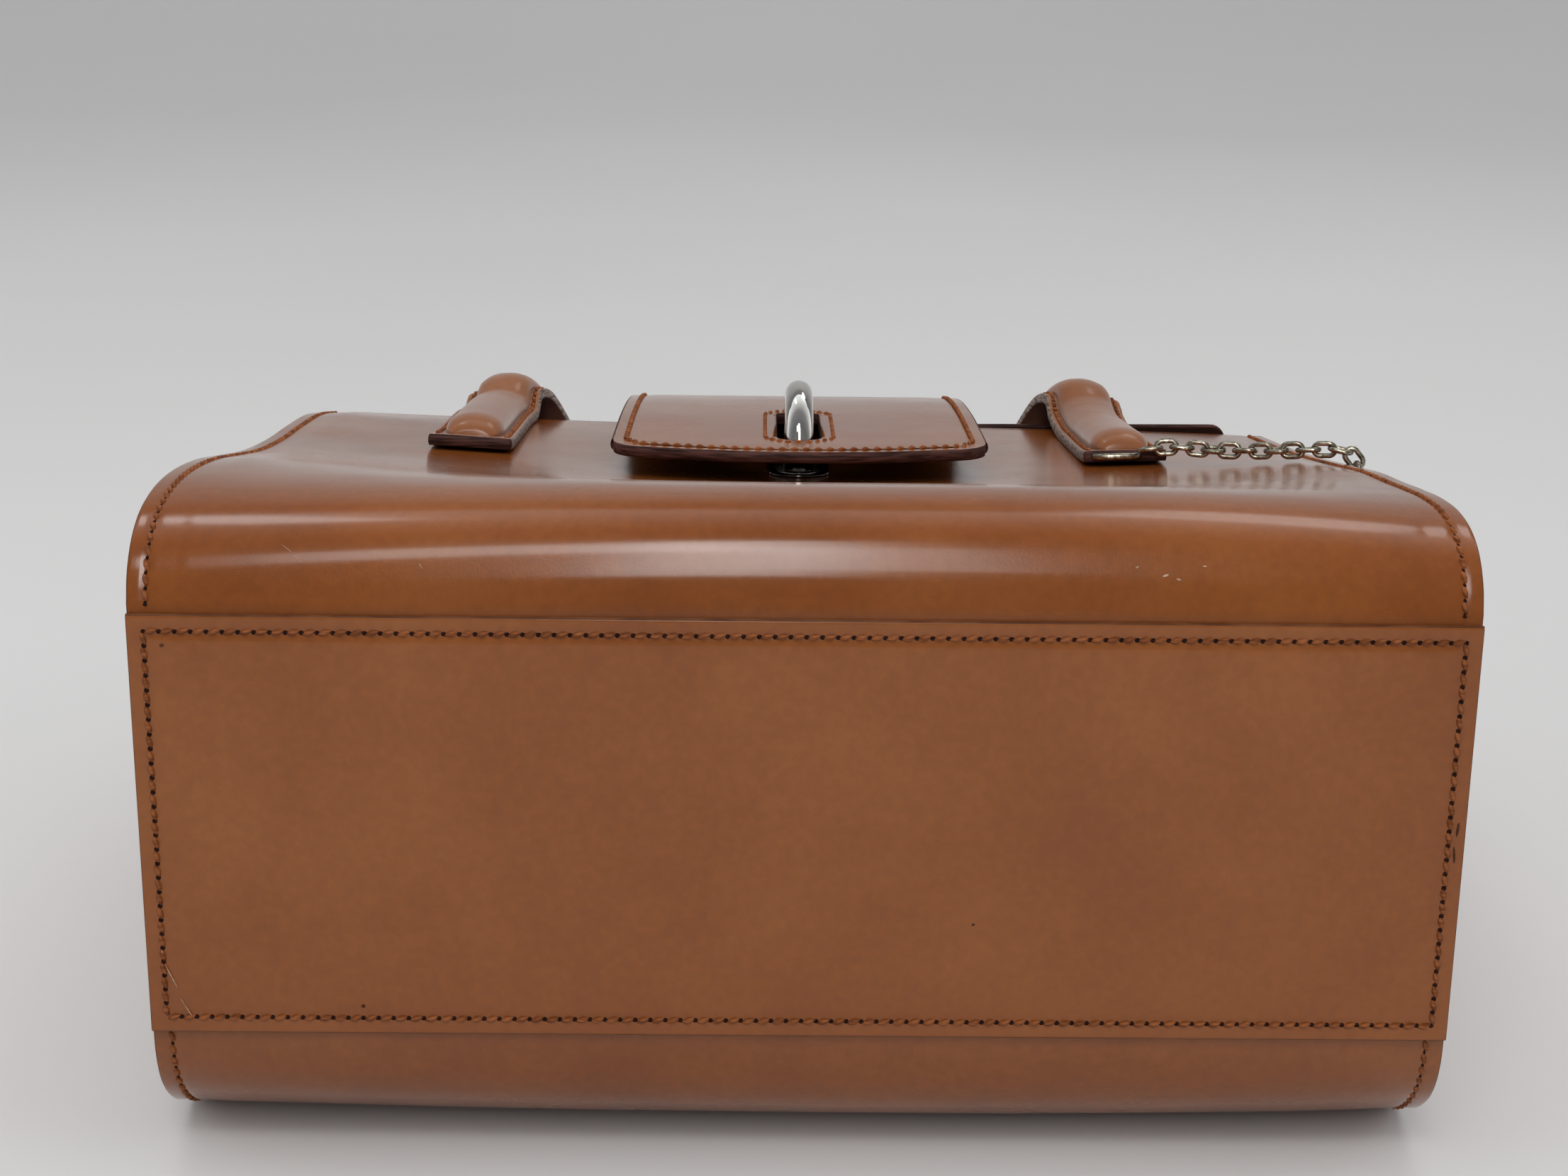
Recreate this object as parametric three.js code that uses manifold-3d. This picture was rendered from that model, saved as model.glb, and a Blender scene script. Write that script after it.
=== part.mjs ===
// A structured leather handbag that lies on its back, its base towards -Y and its front panel up.
// It is built in its own upright frame, in millimetres: X across the bag, Y from the base to the
// top, Z from the back panel to the front panel. The last group lays it down.

import * as THREE from 'three';
import { mergeVertices } from 'three/addons/utils/BufferGeometryUtils.js';
import Module from 'manifold-3d';

const wasm = await Module();
wasm.setup();

// Overall size
const WIDTH = 310;
const HEIGHT = 250;
const DEPTH = 160;
const LEAN = THREE.MathUtils.degToRad(4);
const CLEARANCE = 0.3;
const BLANK_SHARE = 1.2;

// Leather body
const WALL = 2.2;
const PANEL_THICKNESS = 1.7;
const FRONT_SEAM = 0.8606 * DEPTH;
const BACK_SEAM = 0.2156 * DEPTH;
const BASE_FACE = PANEL_THICKNESS + CLEARANCE;
const BACK_TURN = 44;
const BACK_RISE = 36.8;
const SIDE_STRIP = 11;
const SAG_POWER_LEFT = 1.7;
const SAG_POWER_RIGHT = 3.2;

// Side gussets
const GUSSET_WALL = 2;
const GUSSET_RECESS = 8;
const GUSSET_DROP = 4;
const FOLD_DEPTH = 14;
const FOLD_SPREAD = 24;

// Flap: a wide cover over the mouth and a narrow tab on the front panel
const COVER_WIDTH = 289;
const COVER_WALL = 2.4;
const COVER_DEPTH = 0.82 * DEPTH;
const COVER_SKEW = 2.4;
const COVER_RISE = 9.2;
const COVER_CORNER = 5;
const COVER_REACH = 24;
const TAB_WIDTH = 104.6;
const TAB_WALL = 3.2;
const TAB_LENGTH = 134;
const TAB_END = HEIGHT - TAB_LENGTH;
const TAB_BOW = 6;
const TAB_CORNER = 11;

// Closure: a staple that stands through the tab's slot on a small plate
const STAPLE_BAR = 8.2;
const STAPLE_SPAN = 34;
const STAPLE_PROUD = 14.1;
const STAPLE_TOP = 0.94 * DEPTH + STAPLE_PROUD;
const SLOT_SETBACK = 18;
const SLOT_PLAY = 1.9;
const SLOT_SIDE_PLAY = 2.4;
const SLOT_CORNER = 4;
const SLOT_WIDTH = STAPLE_BAR + 2 * SLOT_SIDE_PLAY;
const SLOT_LENGTH = STAPLE_SPAN + STAPLE_BAR + 2 * SLOT_PLAY;
const SLOT_START = TAB_END + SLOT_SETBACK;
const STAPLE_START = SLOT_START + SLOT_PLAY + STAPLE_BAR / 2;
const PLATE_BORDER = 4.4;
const PLATE_OVERHANG = 4.6;
const PLATE_WIDTH = STAPLE_BAR + 2 * PLATE_BORDER;
const PLATE_LENGTH = STAPLE_SPAN + STAPLE_BAR + 2 * PLATE_OVERHANG;
const PLATE_WALL = 1.5;
const PLATE_GAP = 0.4;

// Handle: a flat strap with a padded roll on it
const STRAP_WIDTH = 23.4;
const STRAP_WALL = 3.4;
const STRAP_OUT = 96;
const ROLL_WIDTH = 17.6;
const ROLL_RISE = 6;
const ROLL_SETBACK = 5;
const ROLL_DOME = 11;

// Chain and the ring that it hangs on
const RING_WIRE = 1.9;
const RING_WIDTH = 15;
const RING_DEPTH = 9;
const RING_PROUD = 3.2;
const RING_SHIFT = 2.8;
const NOTCH_SIDE = 1.2;
const LINK_WIRE = 1.2;
const LINK_LENGTH = 7.2;
const LINK_WIDTH = 5;
const LINK_COUNT = 16;
const LINK_PITCH = LINK_LENGTH - 2 * LINK_WIRE - CLEARANCE;
const CHAIN_DROP = 17.5;

// Front panel from its top edge down to the base: up is a share of the height over the base,
// the others are the depth at the left side, the middle and the right side, shares of DEPTH.
const FRONT_ROWS = [
  { up: 1.0, left: 0.848, middle: 0.828, right: 0.818 },
  { up: 0.879, left: 0.881, middle: 0.841, right: 0.84 },
  { up: 0.758, left: 0.897, middle: 0.854, right: 0.864 },
  { up: 0.637, left: 0.909, middle: 0.868, right: 0.891 },
  { up: 0.516, left: 0.929, middle: 0.885, right: 0.92 },
  { up: 0.395, left: 0.96, middle: 0.909, right: 0.95 },
  { up: 0.298, left: 0.986, middle: 0.949, right: 0.967 },
  { up: 0.222, left: 1.0, middle: 0.981, right: 0.981 },
  { up: 0.157, left: 1.005, middle: 1.004, right: 0.991 },
  { up: 0.105, left: 1.0, middle: 1.014, right: 0.992 },
  { up: 0.06, left: 0.984, middle: 1.006, right: 0.98 },
  { up: 0.028, left: 0.955, middle: 0.98, right: 0.954 },
  { up: 0.008, left: 0.915, middle: 0.934, right: 0.915 },
  { up: 0.0, left: 0.875, middle: 0.875, right: 0.875 },
];

// Corner between base and back panel: up is a share of BACK_TURN, the others are the height
// over the plane of the back panel at the sides and in the middle, shares of BACK_RISE.
const BACK_ROWS = [
  { up: 0.0, side: 1.0, middle: 1.0 },
  { up: 0.01, side: 0.837, middle: 0.837 },
  { up: 0.055, side: 0.655, middle: 0.605 },
  { up: 0.148, side: 0.478, middle: 0.41 },
  { up: 0.341, side: 0.265, middle: 0.205 },
  { up: 0.591, side: 0.103, middle: 0.066 },
  { up: 0.773, side: 0.033, middle: 0.02 },
  { up: 1.0, side: 0.0, middle: 0.0 },
];

// Handle rows that lie on the front panel: out is a share of STRAP_OUT, up of HEIGHT, and
// lift, the gap under the strap, of STRAP_WALL.
const HANDLE_LYING = [
  { out: 1.0, up: 0.632, lift: 0.45 },
  { out: 1.0, up: 0.672, lift: 0.22 },
  { out: 1.0, up: 0.736, lift: 0.13 },
  { out: 1.0, up: 0.82, lift: 0.13 },
  { out: 1.0, up: 0.9, lift: 0.18 },
];

// Handle rows that arch over the top edge and hang behind it: out is a share of STRAP_OUT,
// up of HEIGHT, deep of DEPTH, and tip turns the strap's face from the front to the top.
const HANDLE_FREE = [
  { out: 0.997, up: 0.968, deep: 0.86, tip: 0 },
  { out: 0.99, up: 1.012, deep: 0.881, tip: 25 },
  { out: 0.955, up: 1.05, deep: 0.852, tip: 60 },
  { out: 0.9, up: 1.072, deep: 0.78, tip: 80 },
  { out: 0.83, up: 1.082, deep: 0.68, tip: 90 },
  { out: 0.7, up: 1.086, deep: 0.55, tip: 90 },
  { out: 0.48, up: 1.088, deep: 0.43, tip: 90 },
  { out: 0.24, up: 1.088, deep: 0.365, tip: 90 },
];
const HANDLE_MIDDLE = { out: 0, up: 1.088, deep: 0.345, tip: 90 };

// Middle line of the cover's leather from the bag's inside over its mouth: past is the height
// over the top edge, a share of COVER_RISE, and deep is a share of COVER_DEPTH.
const COVER_ROWS = [
  { past: 0.163, deep: 0.146 },
  { past: 0.707, deep: 0.185 },
  { past: 0.87, deep: 0.267 },
  { past: 0.978, deep: 0.461 },
  { past: 1.0, deep: 0.687 },
  { past: 0.924, deep: 0.882 },
  { past: 0.815, deep: 1.03 },
];

// Middle line of the tab's leather, from inside the cover over the bend to its free end: down
// is the way below the top edge, a share of TAB_LENGTH, and deep is a share of DEPTH.
const TAB_ROWS = [
  { down: -0.068, deep: 0.625 },
  { down: -0.063, deep: 0.74 },
  { down: -0.0485, deep: 0.815 },
  { down: -0.004, deep: 0.874 },
  { down: 0.075, deep: 0.892 },
  { down: 0.261, deep: 0.915 },
  { down: 0.522, deep: 0.932 },
  { down: 0.746, deep: 0.938 },
  { down: 0.866, deep: 0.94 },
  { down: 1.045, deep: 0.944 },
];

// Chosen points of the chain's route, from the ring across the panel and over the right side:
// out is a share of the way from the ring's right end to the side, down is the way below the
// ring, a share of CHAIN_DROP, and lift is the height over the panel, a share of LINK_WIDTH.
const CHAIN_ROUTE = [
  { out: 0.037, down: 0.02, lift: 1.1 },
  { out: 0.153, down: 0.065, lift: 1.18 },
  { out: 0.333, down: 0.19, lift: 0.985 },
  { out: 0.549, down: 0.39, lift: 0.825 },
  { out: 0.766, down: 0.62, lift: 0.73 },
  { out: 0.919, down: 0.77, lift: 0.77 },
  { out: 1.007, down: 0.85, lift: 0.705 },
  { out: 1.065, down: 0.91, lift: 0.175 },
  { out: 1.079, down: 0.945, lift: -0.765 },
  { out: 1.083, down: 0.98, lift: -2.18 },
  { out: 1.083, down: 1.0, lift: -4.4 },
  { out: 1.083, down: 1.03, lift: -9.0 },
];
const LINK_ROLLS = [78, -8, 84, 6, 96, -14, 74, 2, 88, -6, 80, 10, 92, 0, 84, -4];

function smoothCurve(points) {
  return new THREE.CatmullRomCurve3(points, false, 'centripetal');
}

function samplePoints(points, stepsPerRow) {
  const curve = smoothCurve(points);
  const count = (points.length - 1) * stepsPerRow;
  const samples = [];
  for (let i = 0; i <= count; i += 1) {
    samples.push(curve.getPoint(i / count));
  }
  return samples;
}

// A closed mesh from points and triangles, turned so that its faces point out.
function closedGeometry(points, triangles) {
  let volume = 0;
  for (const [a, b, c] of triangles) {
    volume += points[a].dot(points[b].clone().cross(points[c]));
  }
  const index = triangles.flatMap(([a, b, c]) => (volume > 0 ? [a, b, c] : [a, c, b]));
  const geometry = new THREE.BufferGeometry();
  geometry.setAttribute('position', new THREE.Float32BufferAttribute(
    points.flatMap((p) => [p.x, p.y, p.z]), 3));
  geometry.setIndex(index);
  return geometry;
}

// A sheet of leather between two grids of points of the same size.
function sheetGeometry(outer, inner) {
  const rows = outer.length;
  const columns = outer[0].length;
  const points = [...outer.flat(), ...inner.flat()];
  const front = (i, j) => i * columns + j;
  const back = (i, j) => rows * columns + i * columns + j;
  const triangles = [];
  const quad = (a, b, c, d) => triangles.push([a, b, c], [a, c, d]);
  for (let i = 0; i + 1 < rows; i += 1) {
    for (let j = 0; j + 1 < columns; j += 1) {
      quad(front(i, j), front(i, j + 1), front(i + 1, j + 1), front(i + 1, j));
      quad(back(i, j), back(i + 1, j), back(i + 1, j + 1), back(i, j + 1));
    }
    quad(front(i, 0), front(i + 1, 0), back(i + 1, 0), back(i, 0));
    const last = columns - 1;
    quad(front(i, last), back(i, last), back(i + 1, last), front(i + 1, last));
  }
  for (let j = 0; j + 1 < columns; j += 1) {
    const last = rows - 1;
    quad(front(0, j), back(0, j), back(0, j + 1), front(0, j + 1));
    quad(front(last, j), front(last, j + 1), back(last, j + 1), back(last, j));
  }
  return closedGeometry(points, triangles);
}

// A body through rings of points of the same count, closed by a flat cap at each end.
function loftGeometry(rings) {
  const size = rings[0].length;
  const points = rings.flat();
  const triangles = [];
  for (let i = 0; i + 1 < rings.length; i += 1) {
    for (let j = 0; j < size; j += 1) {
      const next = (j + 1) % size;
      const [a, b] = [i * size + j, i * size + next];
      const [c, d] = [(i + 1) * size + next, (i + 1) * size + j];
      triangles.push([a, b, c], [a, c, d]);
    }
  }
  const last = (rings.length - 1) * size;
  for (let j = 1; j + 1 < size; j += 1) {
    triangles.push([0, j + 1, j], [last, last + j, last + j + 1]);
  }
  return closedGeometry(points, triangles);
}

function solidOf(geometry) {
  const bare = geometry.clone();
  bare.deleteAttribute('normal');
  bare.deleteAttribute('uv');
  const merged = mergeVertices(bare, 1e-4);
  return new wasm.Manifold(new wasm.Mesh({
    numProp: 3,
    vertProperties: new Float32Array(merged.attributes.position.array),
    triVerts: new Uint32Array(merged.index.array),
  }));
}

function geometryOf(solid) {
  const mesh = solid.getMesh();
  const geometry = new THREE.BufferGeometry();
  geometry.setAttribute('position', new THREE.BufferAttribute(mesh.vertProperties, 3));
  geometry.setIndex(new THREE.BufferAttribute(mesh.triVerts, 1));
  return geometry;
}

// A shape drawn in one plane and pushed through the third direction.
function prism(shape, start, length, plane) {
  const options = { depth: length, bevelEnabled: false, curveSegments: 6 };
  const geometry = new THREE.ExtrudeGeometry(shape, options);
  geometry.translate(0, 0, start);
  const swap = {
    xy: new THREE.Matrix4(),
    yz: new THREE.Matrix4().set(0, 0, 1, 0, 1, 0, 0, 0, 0, 1, 0, 0, 0, 0, 0, 1),
    zx: new THREE.Matrix4().set(0, 1, 0, 0, 0, 0, 1, 0, 1, 0, 0, 0, 0, 0, 0, 1),
  }[plane];
  return geometry.applyMatrix4(swap);
}

// Height of the back panel's outer face over the bag's own back plane.
function backDepth(up) {
  return (up - BASE_FACE - BACK_TURN) * Math.tan(LEAN);
}

// Outline of the wrap's outer face in the plane across the bag at x, from the front panel's
// top edge over the base to the back panel's top edge.
function sectionAt(x) {
  const flatSide = WIDTH / 2 - SIDE_STRIP;
  const power = x < 0 ? SAG_POWER_LEFT : SAG_POWER_RIGHT;
  const share = Math.min(1, Math.abs(x) / flatSide) ** power;
  const front = FRONT_ROWS.map((row) => {
    const side = x < 0 ? row.left : row.right;
    const deep = (row.middle + (side - row.middle) * share) * DEPTH;
    return new THREE.Vector3(x, BASE_FACE + row.up * (HEIGHT - BASE_FACE), deep);
  });
  const corner = BACK_ROWS.map((row) => {
    const up = BASE_FACE + row.up * BACK_TURN;
    const lift = (row.middle + (row.side - row.middle) * share) * BACK_RISE;
    return new THREE.Vector3(x, up, backDepth(up) + lift);
  });
  const points = samplePoints(front, 2);
  points.push(...spanPoints(front.at(-1), corner[0], 3));
  points.push(...samplePoints(corner, 2));
  const end = new THREE.Vector3(x, HEIGHT, backDepth(HEIGHT));
  points.push(...spanPoints(corner.at(-1), end, 4), end);
  return points;
}

// Points between two ends, without the ends.
function spanPoints(start, end, spans) {
  const points = [];
  for (let i = 1; i < spans; i += 1) {
    points.push(start.clone().lerp(end, i / spans));
  }
  return points;
}

// The same outline moved towards the bag's inside.
function insetSection(x, distance) {
  const points = sectionAt(x);
  return points.map((point, i) => {
    const before = points[Math.max(0, i - 1)];
    const after = points[Math.min(points.length - 1, i + 1)];
    const along = after.clone().sub(before).normalize();
    return new THREE.Vector3(x, point.y - along.z * distance, point.z + along.y * distance);
  });
}

// Depth of the front panel's outer face at a place on it.
function frontDepth(x, up) {
  const points = sectionAt(x);
  for (let i = 0; i + 1 < points.length; i += 1) {
    const [upper, lower] = [points[i], points[i + 1]];
    if (up <= upper.y && up >= lower.y) {
      return THREE.MathUtils.mapLinear(up, upper.y, lower.y, upper.z, lower.z);
    }
  }
  return points[0].z;
}

function frontNormal(x, up) {
  const step = 2;
  const top = Math.min(up, HEIGHT - step);
  const across = (frontDepth(x + step, top) - frontDepth(x - step, top)) / (2 * step);
  const along = (frontDepth(x, top + step) - frontDepth(x, top - step)) / (2 * step);
  return new THREE.Vector3(-across, -along, 1).normalize();
}

// The wrap: one piece of leather that is front panel, base and back panel.
function wrapGeometry() {
  const flatSide = WIDTH / 2 - SIDE_STRIP;
  const shares = [1, 0.92, 0.82, 0.69, 0.54, 0.36, 0.18];
  const half = [WIDTH / 2, ...shares.map((share) => share * flatSide)];
  const columns = [...half.map((x) => -x), 0, ...half.reverse()];
  const outer = columns.map((x) => sectionAt(x));
  const inner = columns.map((x) => insetSection(x, WALL));
  return sheetGeometry(outer, inner);
}

// The overlay panel that is stitched across the base from side to side.
function basePanelGeometry() {
  const shape = new THREE.Shape();
  shape.moveTo(BACK_SEAM, -WIDTH / 2);
  shape.lineTo(FRONT_SEAM, -WIDTH / 2);
  shape.lineTo(FRONT_SEAM, WIDTH / 2);
  shape.lineTo(BACK_SEAM, WIDTH / 2);
  return prism(shape, 0, PANEL_THICKNESS, 'zx');
}

function outlineShape(points) {
  return new THREE.Shape(points.map((point) => new THREE.Vector2(point.y, point.z)));
}

// A side gusset: a recessed wall with a soft inward fold, and a lip turned out under the
// wrap's edge all round the front, the base and the back.
function gussetGeometry(side) {
  const edge = side * WIDTH / 2;
  const top = HEIGHT - GUSSET_DROP;
  const lowered = (point) => new THREE.Vector3(point.x, Math.min(point.y, top), point.z);
  const lipOut = insetSection(edge, WALL + CLEARANCE).map(lowered);
  const lipIn = insetSection(edge, WALL + CLEARANCE + GUSSET_WALL).map(lowered);
  const lipEnd = WIDTH / 2 - CLEARANCE;
  const wallFace = WIDTH / 2 - GUSSET_RECESS;
  const lipStart = side > 0 ? wallFace - GUSSET_WALL : -lipEnd;
  const lipLength = lipEnd - wallFace + GUSSET_WALL;
  const lipShape = outlineShape([...lipOut, ...lipIn.reverse()]);
  const lip = solidOf(prism(lipShape, lipStart, lipLength, 'yz'));
  const [rows, columns] = [9, 15];
  const grid = (depth) => Array.from({ length: rows }, (_, i) => {
    const up = THREE.MathUtils.lerp(-BASE_FACE, top, i / (rows - 1));
    const middle = (frontDepth(edge, Math.max(up, BACK_TURN)) + backDepth(up)) / 2;
    return Array.from({ length: columns }, (__, j) => {
      const deep = THREE.MathUtils.lerp(-WALL, DEPTH + WALL, j / (columns - 1));
      const rise = Math.max(0, up / HEIGHT) ** 1.5;
      const fold = FOLD_DEPTH * rise * Math.exp(-(((deep - middle) / FOLD_SPREAD) ** 2));
      return new THREE.Vector3(side * (wallFace - depth - fold), up, deep);
    });
  });
  const wall = solidOf(sheetGeometry(grid(0), grid(GUSSET_WALL)));
  const reachStart = side > 0 ? WIDTH / 4 : -WIDTH / 2;
  const reach = solidOf(prism(outlineShape(lipOut), reachStart, WIDTH / 4, 'yz'));
  return geometryOf(wall.intersect(reach).add(lip));
}

// A strip of leather of constant width along a middle line in the plane x = 0.
function stripGeometry(line, width, thickness) {
  const face = (side) => line.map((point, i) => {
    const before = line[Math.max(0, i - 1)];
    const after = line[Math.min(line.length - 1, i + 1)];
    const along = after.clone().sub(before).normalize();
    const shift = side * thickness / 2;
    return [-0.5, 0, 0.5].map((share) => new THREE.Vector3(
      share * width, point.y - along.z * shift, point.z + along.y * shift));
  });
  return sheetGeometry(face(1), face(-1));
}

// The cover: from inside the back panel over the mouth to just behind the front panel's top
// edge, which it passes a little at the right.
function coverGeometry() {
  const seat = (WALL + CLEARANCE) / Math.cos(LEAN) + COVER_WALL / 2;
  const inside = (up) => new THREE.Vector3(0, up, backDepth(up) + seat);
  const seated = [inside(HEIGHT - COVER_REACH), inside(HEIGHT - COVER_REACH / 2)];
  const rows = COVER_ROWS.map((row) => new THREE.Vector3(
    0, HEIGHT + row.past * COVER_RISE, row.deep * COVER_DEPTH));
  const line = samplePoints([...seated, ...rows], 2);
  const strip = solidOf(stripGeometry(line, BLANK_SHARE * COVER_WIDTH, COVER_WALL));
  const half = COVER_WIDTH / 2;
  const [left, right] = [COVER_DEPTH - COVER_SKEW / 2, COVER_DEPTH + COVER_SKEW / 2];
  const shape = new THREE.Shape();
  shape.moveTo(0, -half);
  shape.lineTo(left - COVER_CORNER, -half);
  shape.quadraticCurveTo(left, -half, left, -half + COVER_CORNER);
  shape.lineTo(right, half - COVER_CORNER);
  shape.quadraticCurveTo(right, half, right - COVER_CORNER, half);
  shape.lineTo(0, half);
  return strip.intersect(solidOf(prism(shape, HEIGHT / 2, HEIGHT, 'zx')));
}

// Outline of the tab seen from the front, with a bowed end and round corners.
function tabOutline() {
  const half = TAB_WIDTH / 2;
  const chord = half - TAB_CORNER;
  const bowRadius = (chord ** 2 + TAB_BOW ** 2) / (2 * TAB_BOW);
  const bowAngle = Math.asin(chord / bowRadius);
  const shoulder = TAB_END + TAB_BOW;
  const middle = -Math.PI / 2;
  const shape = new THREE.Shape();
  shape.moveTo(half, HEIGHT * BLANK_SHARE);
  shape.lineTo(-half, HEIGHT * BLANK_SHARE);
  shape.lineTo(-half, shoulder + TAB_CORNER);
  shape.quadraticCurveTo(-half, shoulder, -chord, shoulder);
  shape.absarc(0, TAB_END + bowRadius, bowRadius, middle - bowAngle, middle + bowAngle, false);
  shape.quadraticCurveTo(half, shoulder, half, shoulder + TAB_CORNER);
  return shape;
}

function slotOutline() {
  const half = SLOT_WIDTH / 2;
  const [low, high] = [SLOT_START, SLOT_START + SLOT_LENGTH];
  const shape = new THREE.Shape();
  shape.moveTo(-half + SLOT_CORNER, low);
  shape.lineTo(half - SLOT_CORNER, low);
  shape.lineTo(half, low + SLOT_CORNER);
  shape.lineTo(half, high - SLOT_CORNER);
  shape.lineTo(half - SLOT_CORNER, high);
  shape.lineTo(-half + SLOT_CORNER, high);
  shape.lineTo(-half, high - SLOT_CORNER);
  shape.lineTo(-half, low + SLOT_CORNER);
  return shape;
}

// The flap: cover and tab are one piece of leather, with the staple's slot in the tab.
function flapGeometry() {
  const rows = TAB_ROWS.map((row) => new THREE.Vector3(
    0, HEIGHT - row.down * TAB_LENGTH, row.deep * DEPTH));
  const strip = solidOf(stripGeometry(samplePoints(rows, 3), BLANK_SHARE * TAB_WIDTH, TAB_WALL));
  const tab = strip
    .intersect(solidOf(prism(tabOutline(), 0, 2 * DEPTH, 'xy')))
    .subtract(solidOf(prism(slotOutline(), DEPTH / 2, DEPTH, 'xy')));
  return geometryOf(coverGeometry().add(tab));
}

function plateTop(up) {
  return frontDepth(0, up) + PLATE_GAP + PLATE_WALL;
}

// A small plate that follows the front panel under the staple.
function plateGeometry() {
  const middle = STAPLE_START + STAPLE_SPAN / 2;
  const start = middle - PLATE_LENGTH / 2;
  const line = [];
  const spans = 8;
  for (let i = 0; i <= spans; i += 1) {
    const up = start + PLATE_LENGTH * i / spans;
    line.push(new THREE.Vector3(0, up, plateTop(up) - PLATE_WALL / 2));
  }
  const strip = solidOf(stripGeometry(line, BLANK_SHARE * PLATE_WIDTH, PLATE_WALL));
  const radius = PLATE_WIDTH / 2;
  const shape = new THREE.Shape();
  shape.absarc(0, start + radius, radius, Math.PI, 2 * Math.PI, false);
  shape.absarc(0, start + PLATE_LENGTH - radius, radius, 0, Math.PI, false);
  return geometryOf(strip.intersect(solidOf(prism(shape, DEPTH / 2, DEPTH, 'xy'))));
}

// Ring of section points around a place on a path.
function barRing(centre, across, over, radius, sides) {
  return Array.from({ length: sides }, (_, k) => {
    const angle = 2 * Math.PI * k / sides;
    return centre.clone()
      .addScaledVector(across, Math.cos(angle) * radius)
      .addScaledVector(over, Math.sin(angle) * radius);
  });
}

// The staple: two legs and a bow, bent from one bar, with feet cut to the plate's slope.
function stapleGeometry() {
  const [steps, sides] = [12, 12];
  const half = STAPLE_SPAN / 2;
  const middle = STAPLE_START + half;
  const crown = STAPLE_TOP - STAPLE_BAR / 2;
  const bow = crown - plateTop(STAPLE_START) - STAPLE_BAR / 2;
  const ringAt = (up, deep, turn) => barRing(
    new THREE.Vector3(0, up, deep), new THREE.Vector3(1, 0, 0),
    new THREE.Vector3(0, -Math.cos(turn), Math.sin(turn)), STAPLE_BAR / 2, sides);
  const foot = (up, turn) => ringAt(up, 0, turn).map(
    (point) => new THREE.Vector3(point.x, point.y, plateTop(point.y) + PLATE_GAP));
  const rings = [foot(STAPLE_START, 0)];
  for (let i = 0; i <= steps; i += 1) {
    const turn = Math.PI * i / steps;
    rings.push(ringAt(middle - half * Math.cos(turn), crown - bow * (1 - Math.sin(turn)), turn));
  }
  rings.push(foot(STAPLE_START + STAPLE_SPAN, Math.PI));
  return loftGeometry(rings);
}

// Stations of the handle from its left tab over the hanging arch to its right tab, each with
// its place, the way the strap's face points and the way across the strap.
function handleStations() {
  const leg = (side) => [
    ...HANDLE_LYING.map((row) => {
      const [x, up] = [side * row.out * STRAP_OUT, row.up * HEIGHT];
      const face = frontNormal(x, up);
      const rise = (row.lift + 0.5) * STRAP_WALL;
      const place = new THREE.Vector3(x, up, frontDepth(x, up)).addScaledVector(face, rise);
      return { face, place };
    }),
    ...HANDLE_FREE.map((row) => freeStation(row, side)),
  ];
  const rows = [...leg(-1), freeStation(HANDLE_MIDDLE, 1), ...leg(1).reverse()];
  const places = samplePoints(rows.map((row) => row.place), 2);
  const faces = samplePoints(rows.map((row) => row.face), 2);
  return places.map((place, i) => {
    const before = places[Math.max(0, i - 1)];
    const after = places[Math.min(places.length - 1, i + 1)];
    const along = after.clone().sub(before).normalize();
    const face = faces[i].clone().addScaledVector(along, -faces[i].dot(along)).normalize();
    return { place, along, face, across: along.clone().cross(face).normalize() };
  });
}

function freeStation(row, side) {
  const tip = THREE.MathUtils.degToRad(row.tip);
  return {
    place: new THREE.Vector3(side * row.out * STRAP_OUT, row.up * HEIGHT, row.deep * DEPTH),
    face: new THREE.Vector3(0, Math.sin(tip), Math.cos(tip)),
  };
}

function stationPoint(station, across, over) {
  return station.place.clone()
    .addScaledVector(station.across, across)
    .addScaledVector(station.face, over);
}

// Middle of the ring's front bar, just before the end of the right tab.
function ringPlace() {
  const tab = handleStations().at(-1);
  const middle = stationPoint(tab, RING_SHIFT, 0).addScaledVector(tab.along, RING_PROUD);
  return { tab, middle };
}

// The strap, with a notch in its right end for the chain's ring.
function strapGeometry() {
  const [half, seat, rise] = [STRAP_WIDTH / 2, ROLL_WIDTH / 2, STRAP_WALL / 2];
  const [upper, lower] = [[-half, -seat, seat, half], [half, -half]];
  const rings = handleStations().map((station) => [
    ...upper.map((across) => stationPoint(station, across, rise)),
    ...lower.map((across) => stationPoint(station, across, -rise)),
  ]);
  const strap = solidOf(loftGeometry(rings));
  const { tab, middle } = ringPlace();
  const width = RING_WIDTH + 2 * NOTCH_SIDE;
  const length = RING_DEPTH + NOTCH_SIDE;
  const notch = new THREE.BoxGeometry(width, 2 * length, STRAP_WALL);
  const turn = new THREE.Matrix4().makeBasis(tab.across, tab.along, tab.face);
  const floor = -RING_WIRE / 2 - CLEARANCE + STRAP_WALL / 2;
  notch.applyMatrix4(turn);
  notch.translate(...middle.clone().addScaledVector(tab.face, floor)
    .addScaledVector(tab.along, length - RING_DEPTH - NOTCH_SIDE).toArray());
  return geometryOf(strap.subtract(solidOf(notch)));
}

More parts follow.
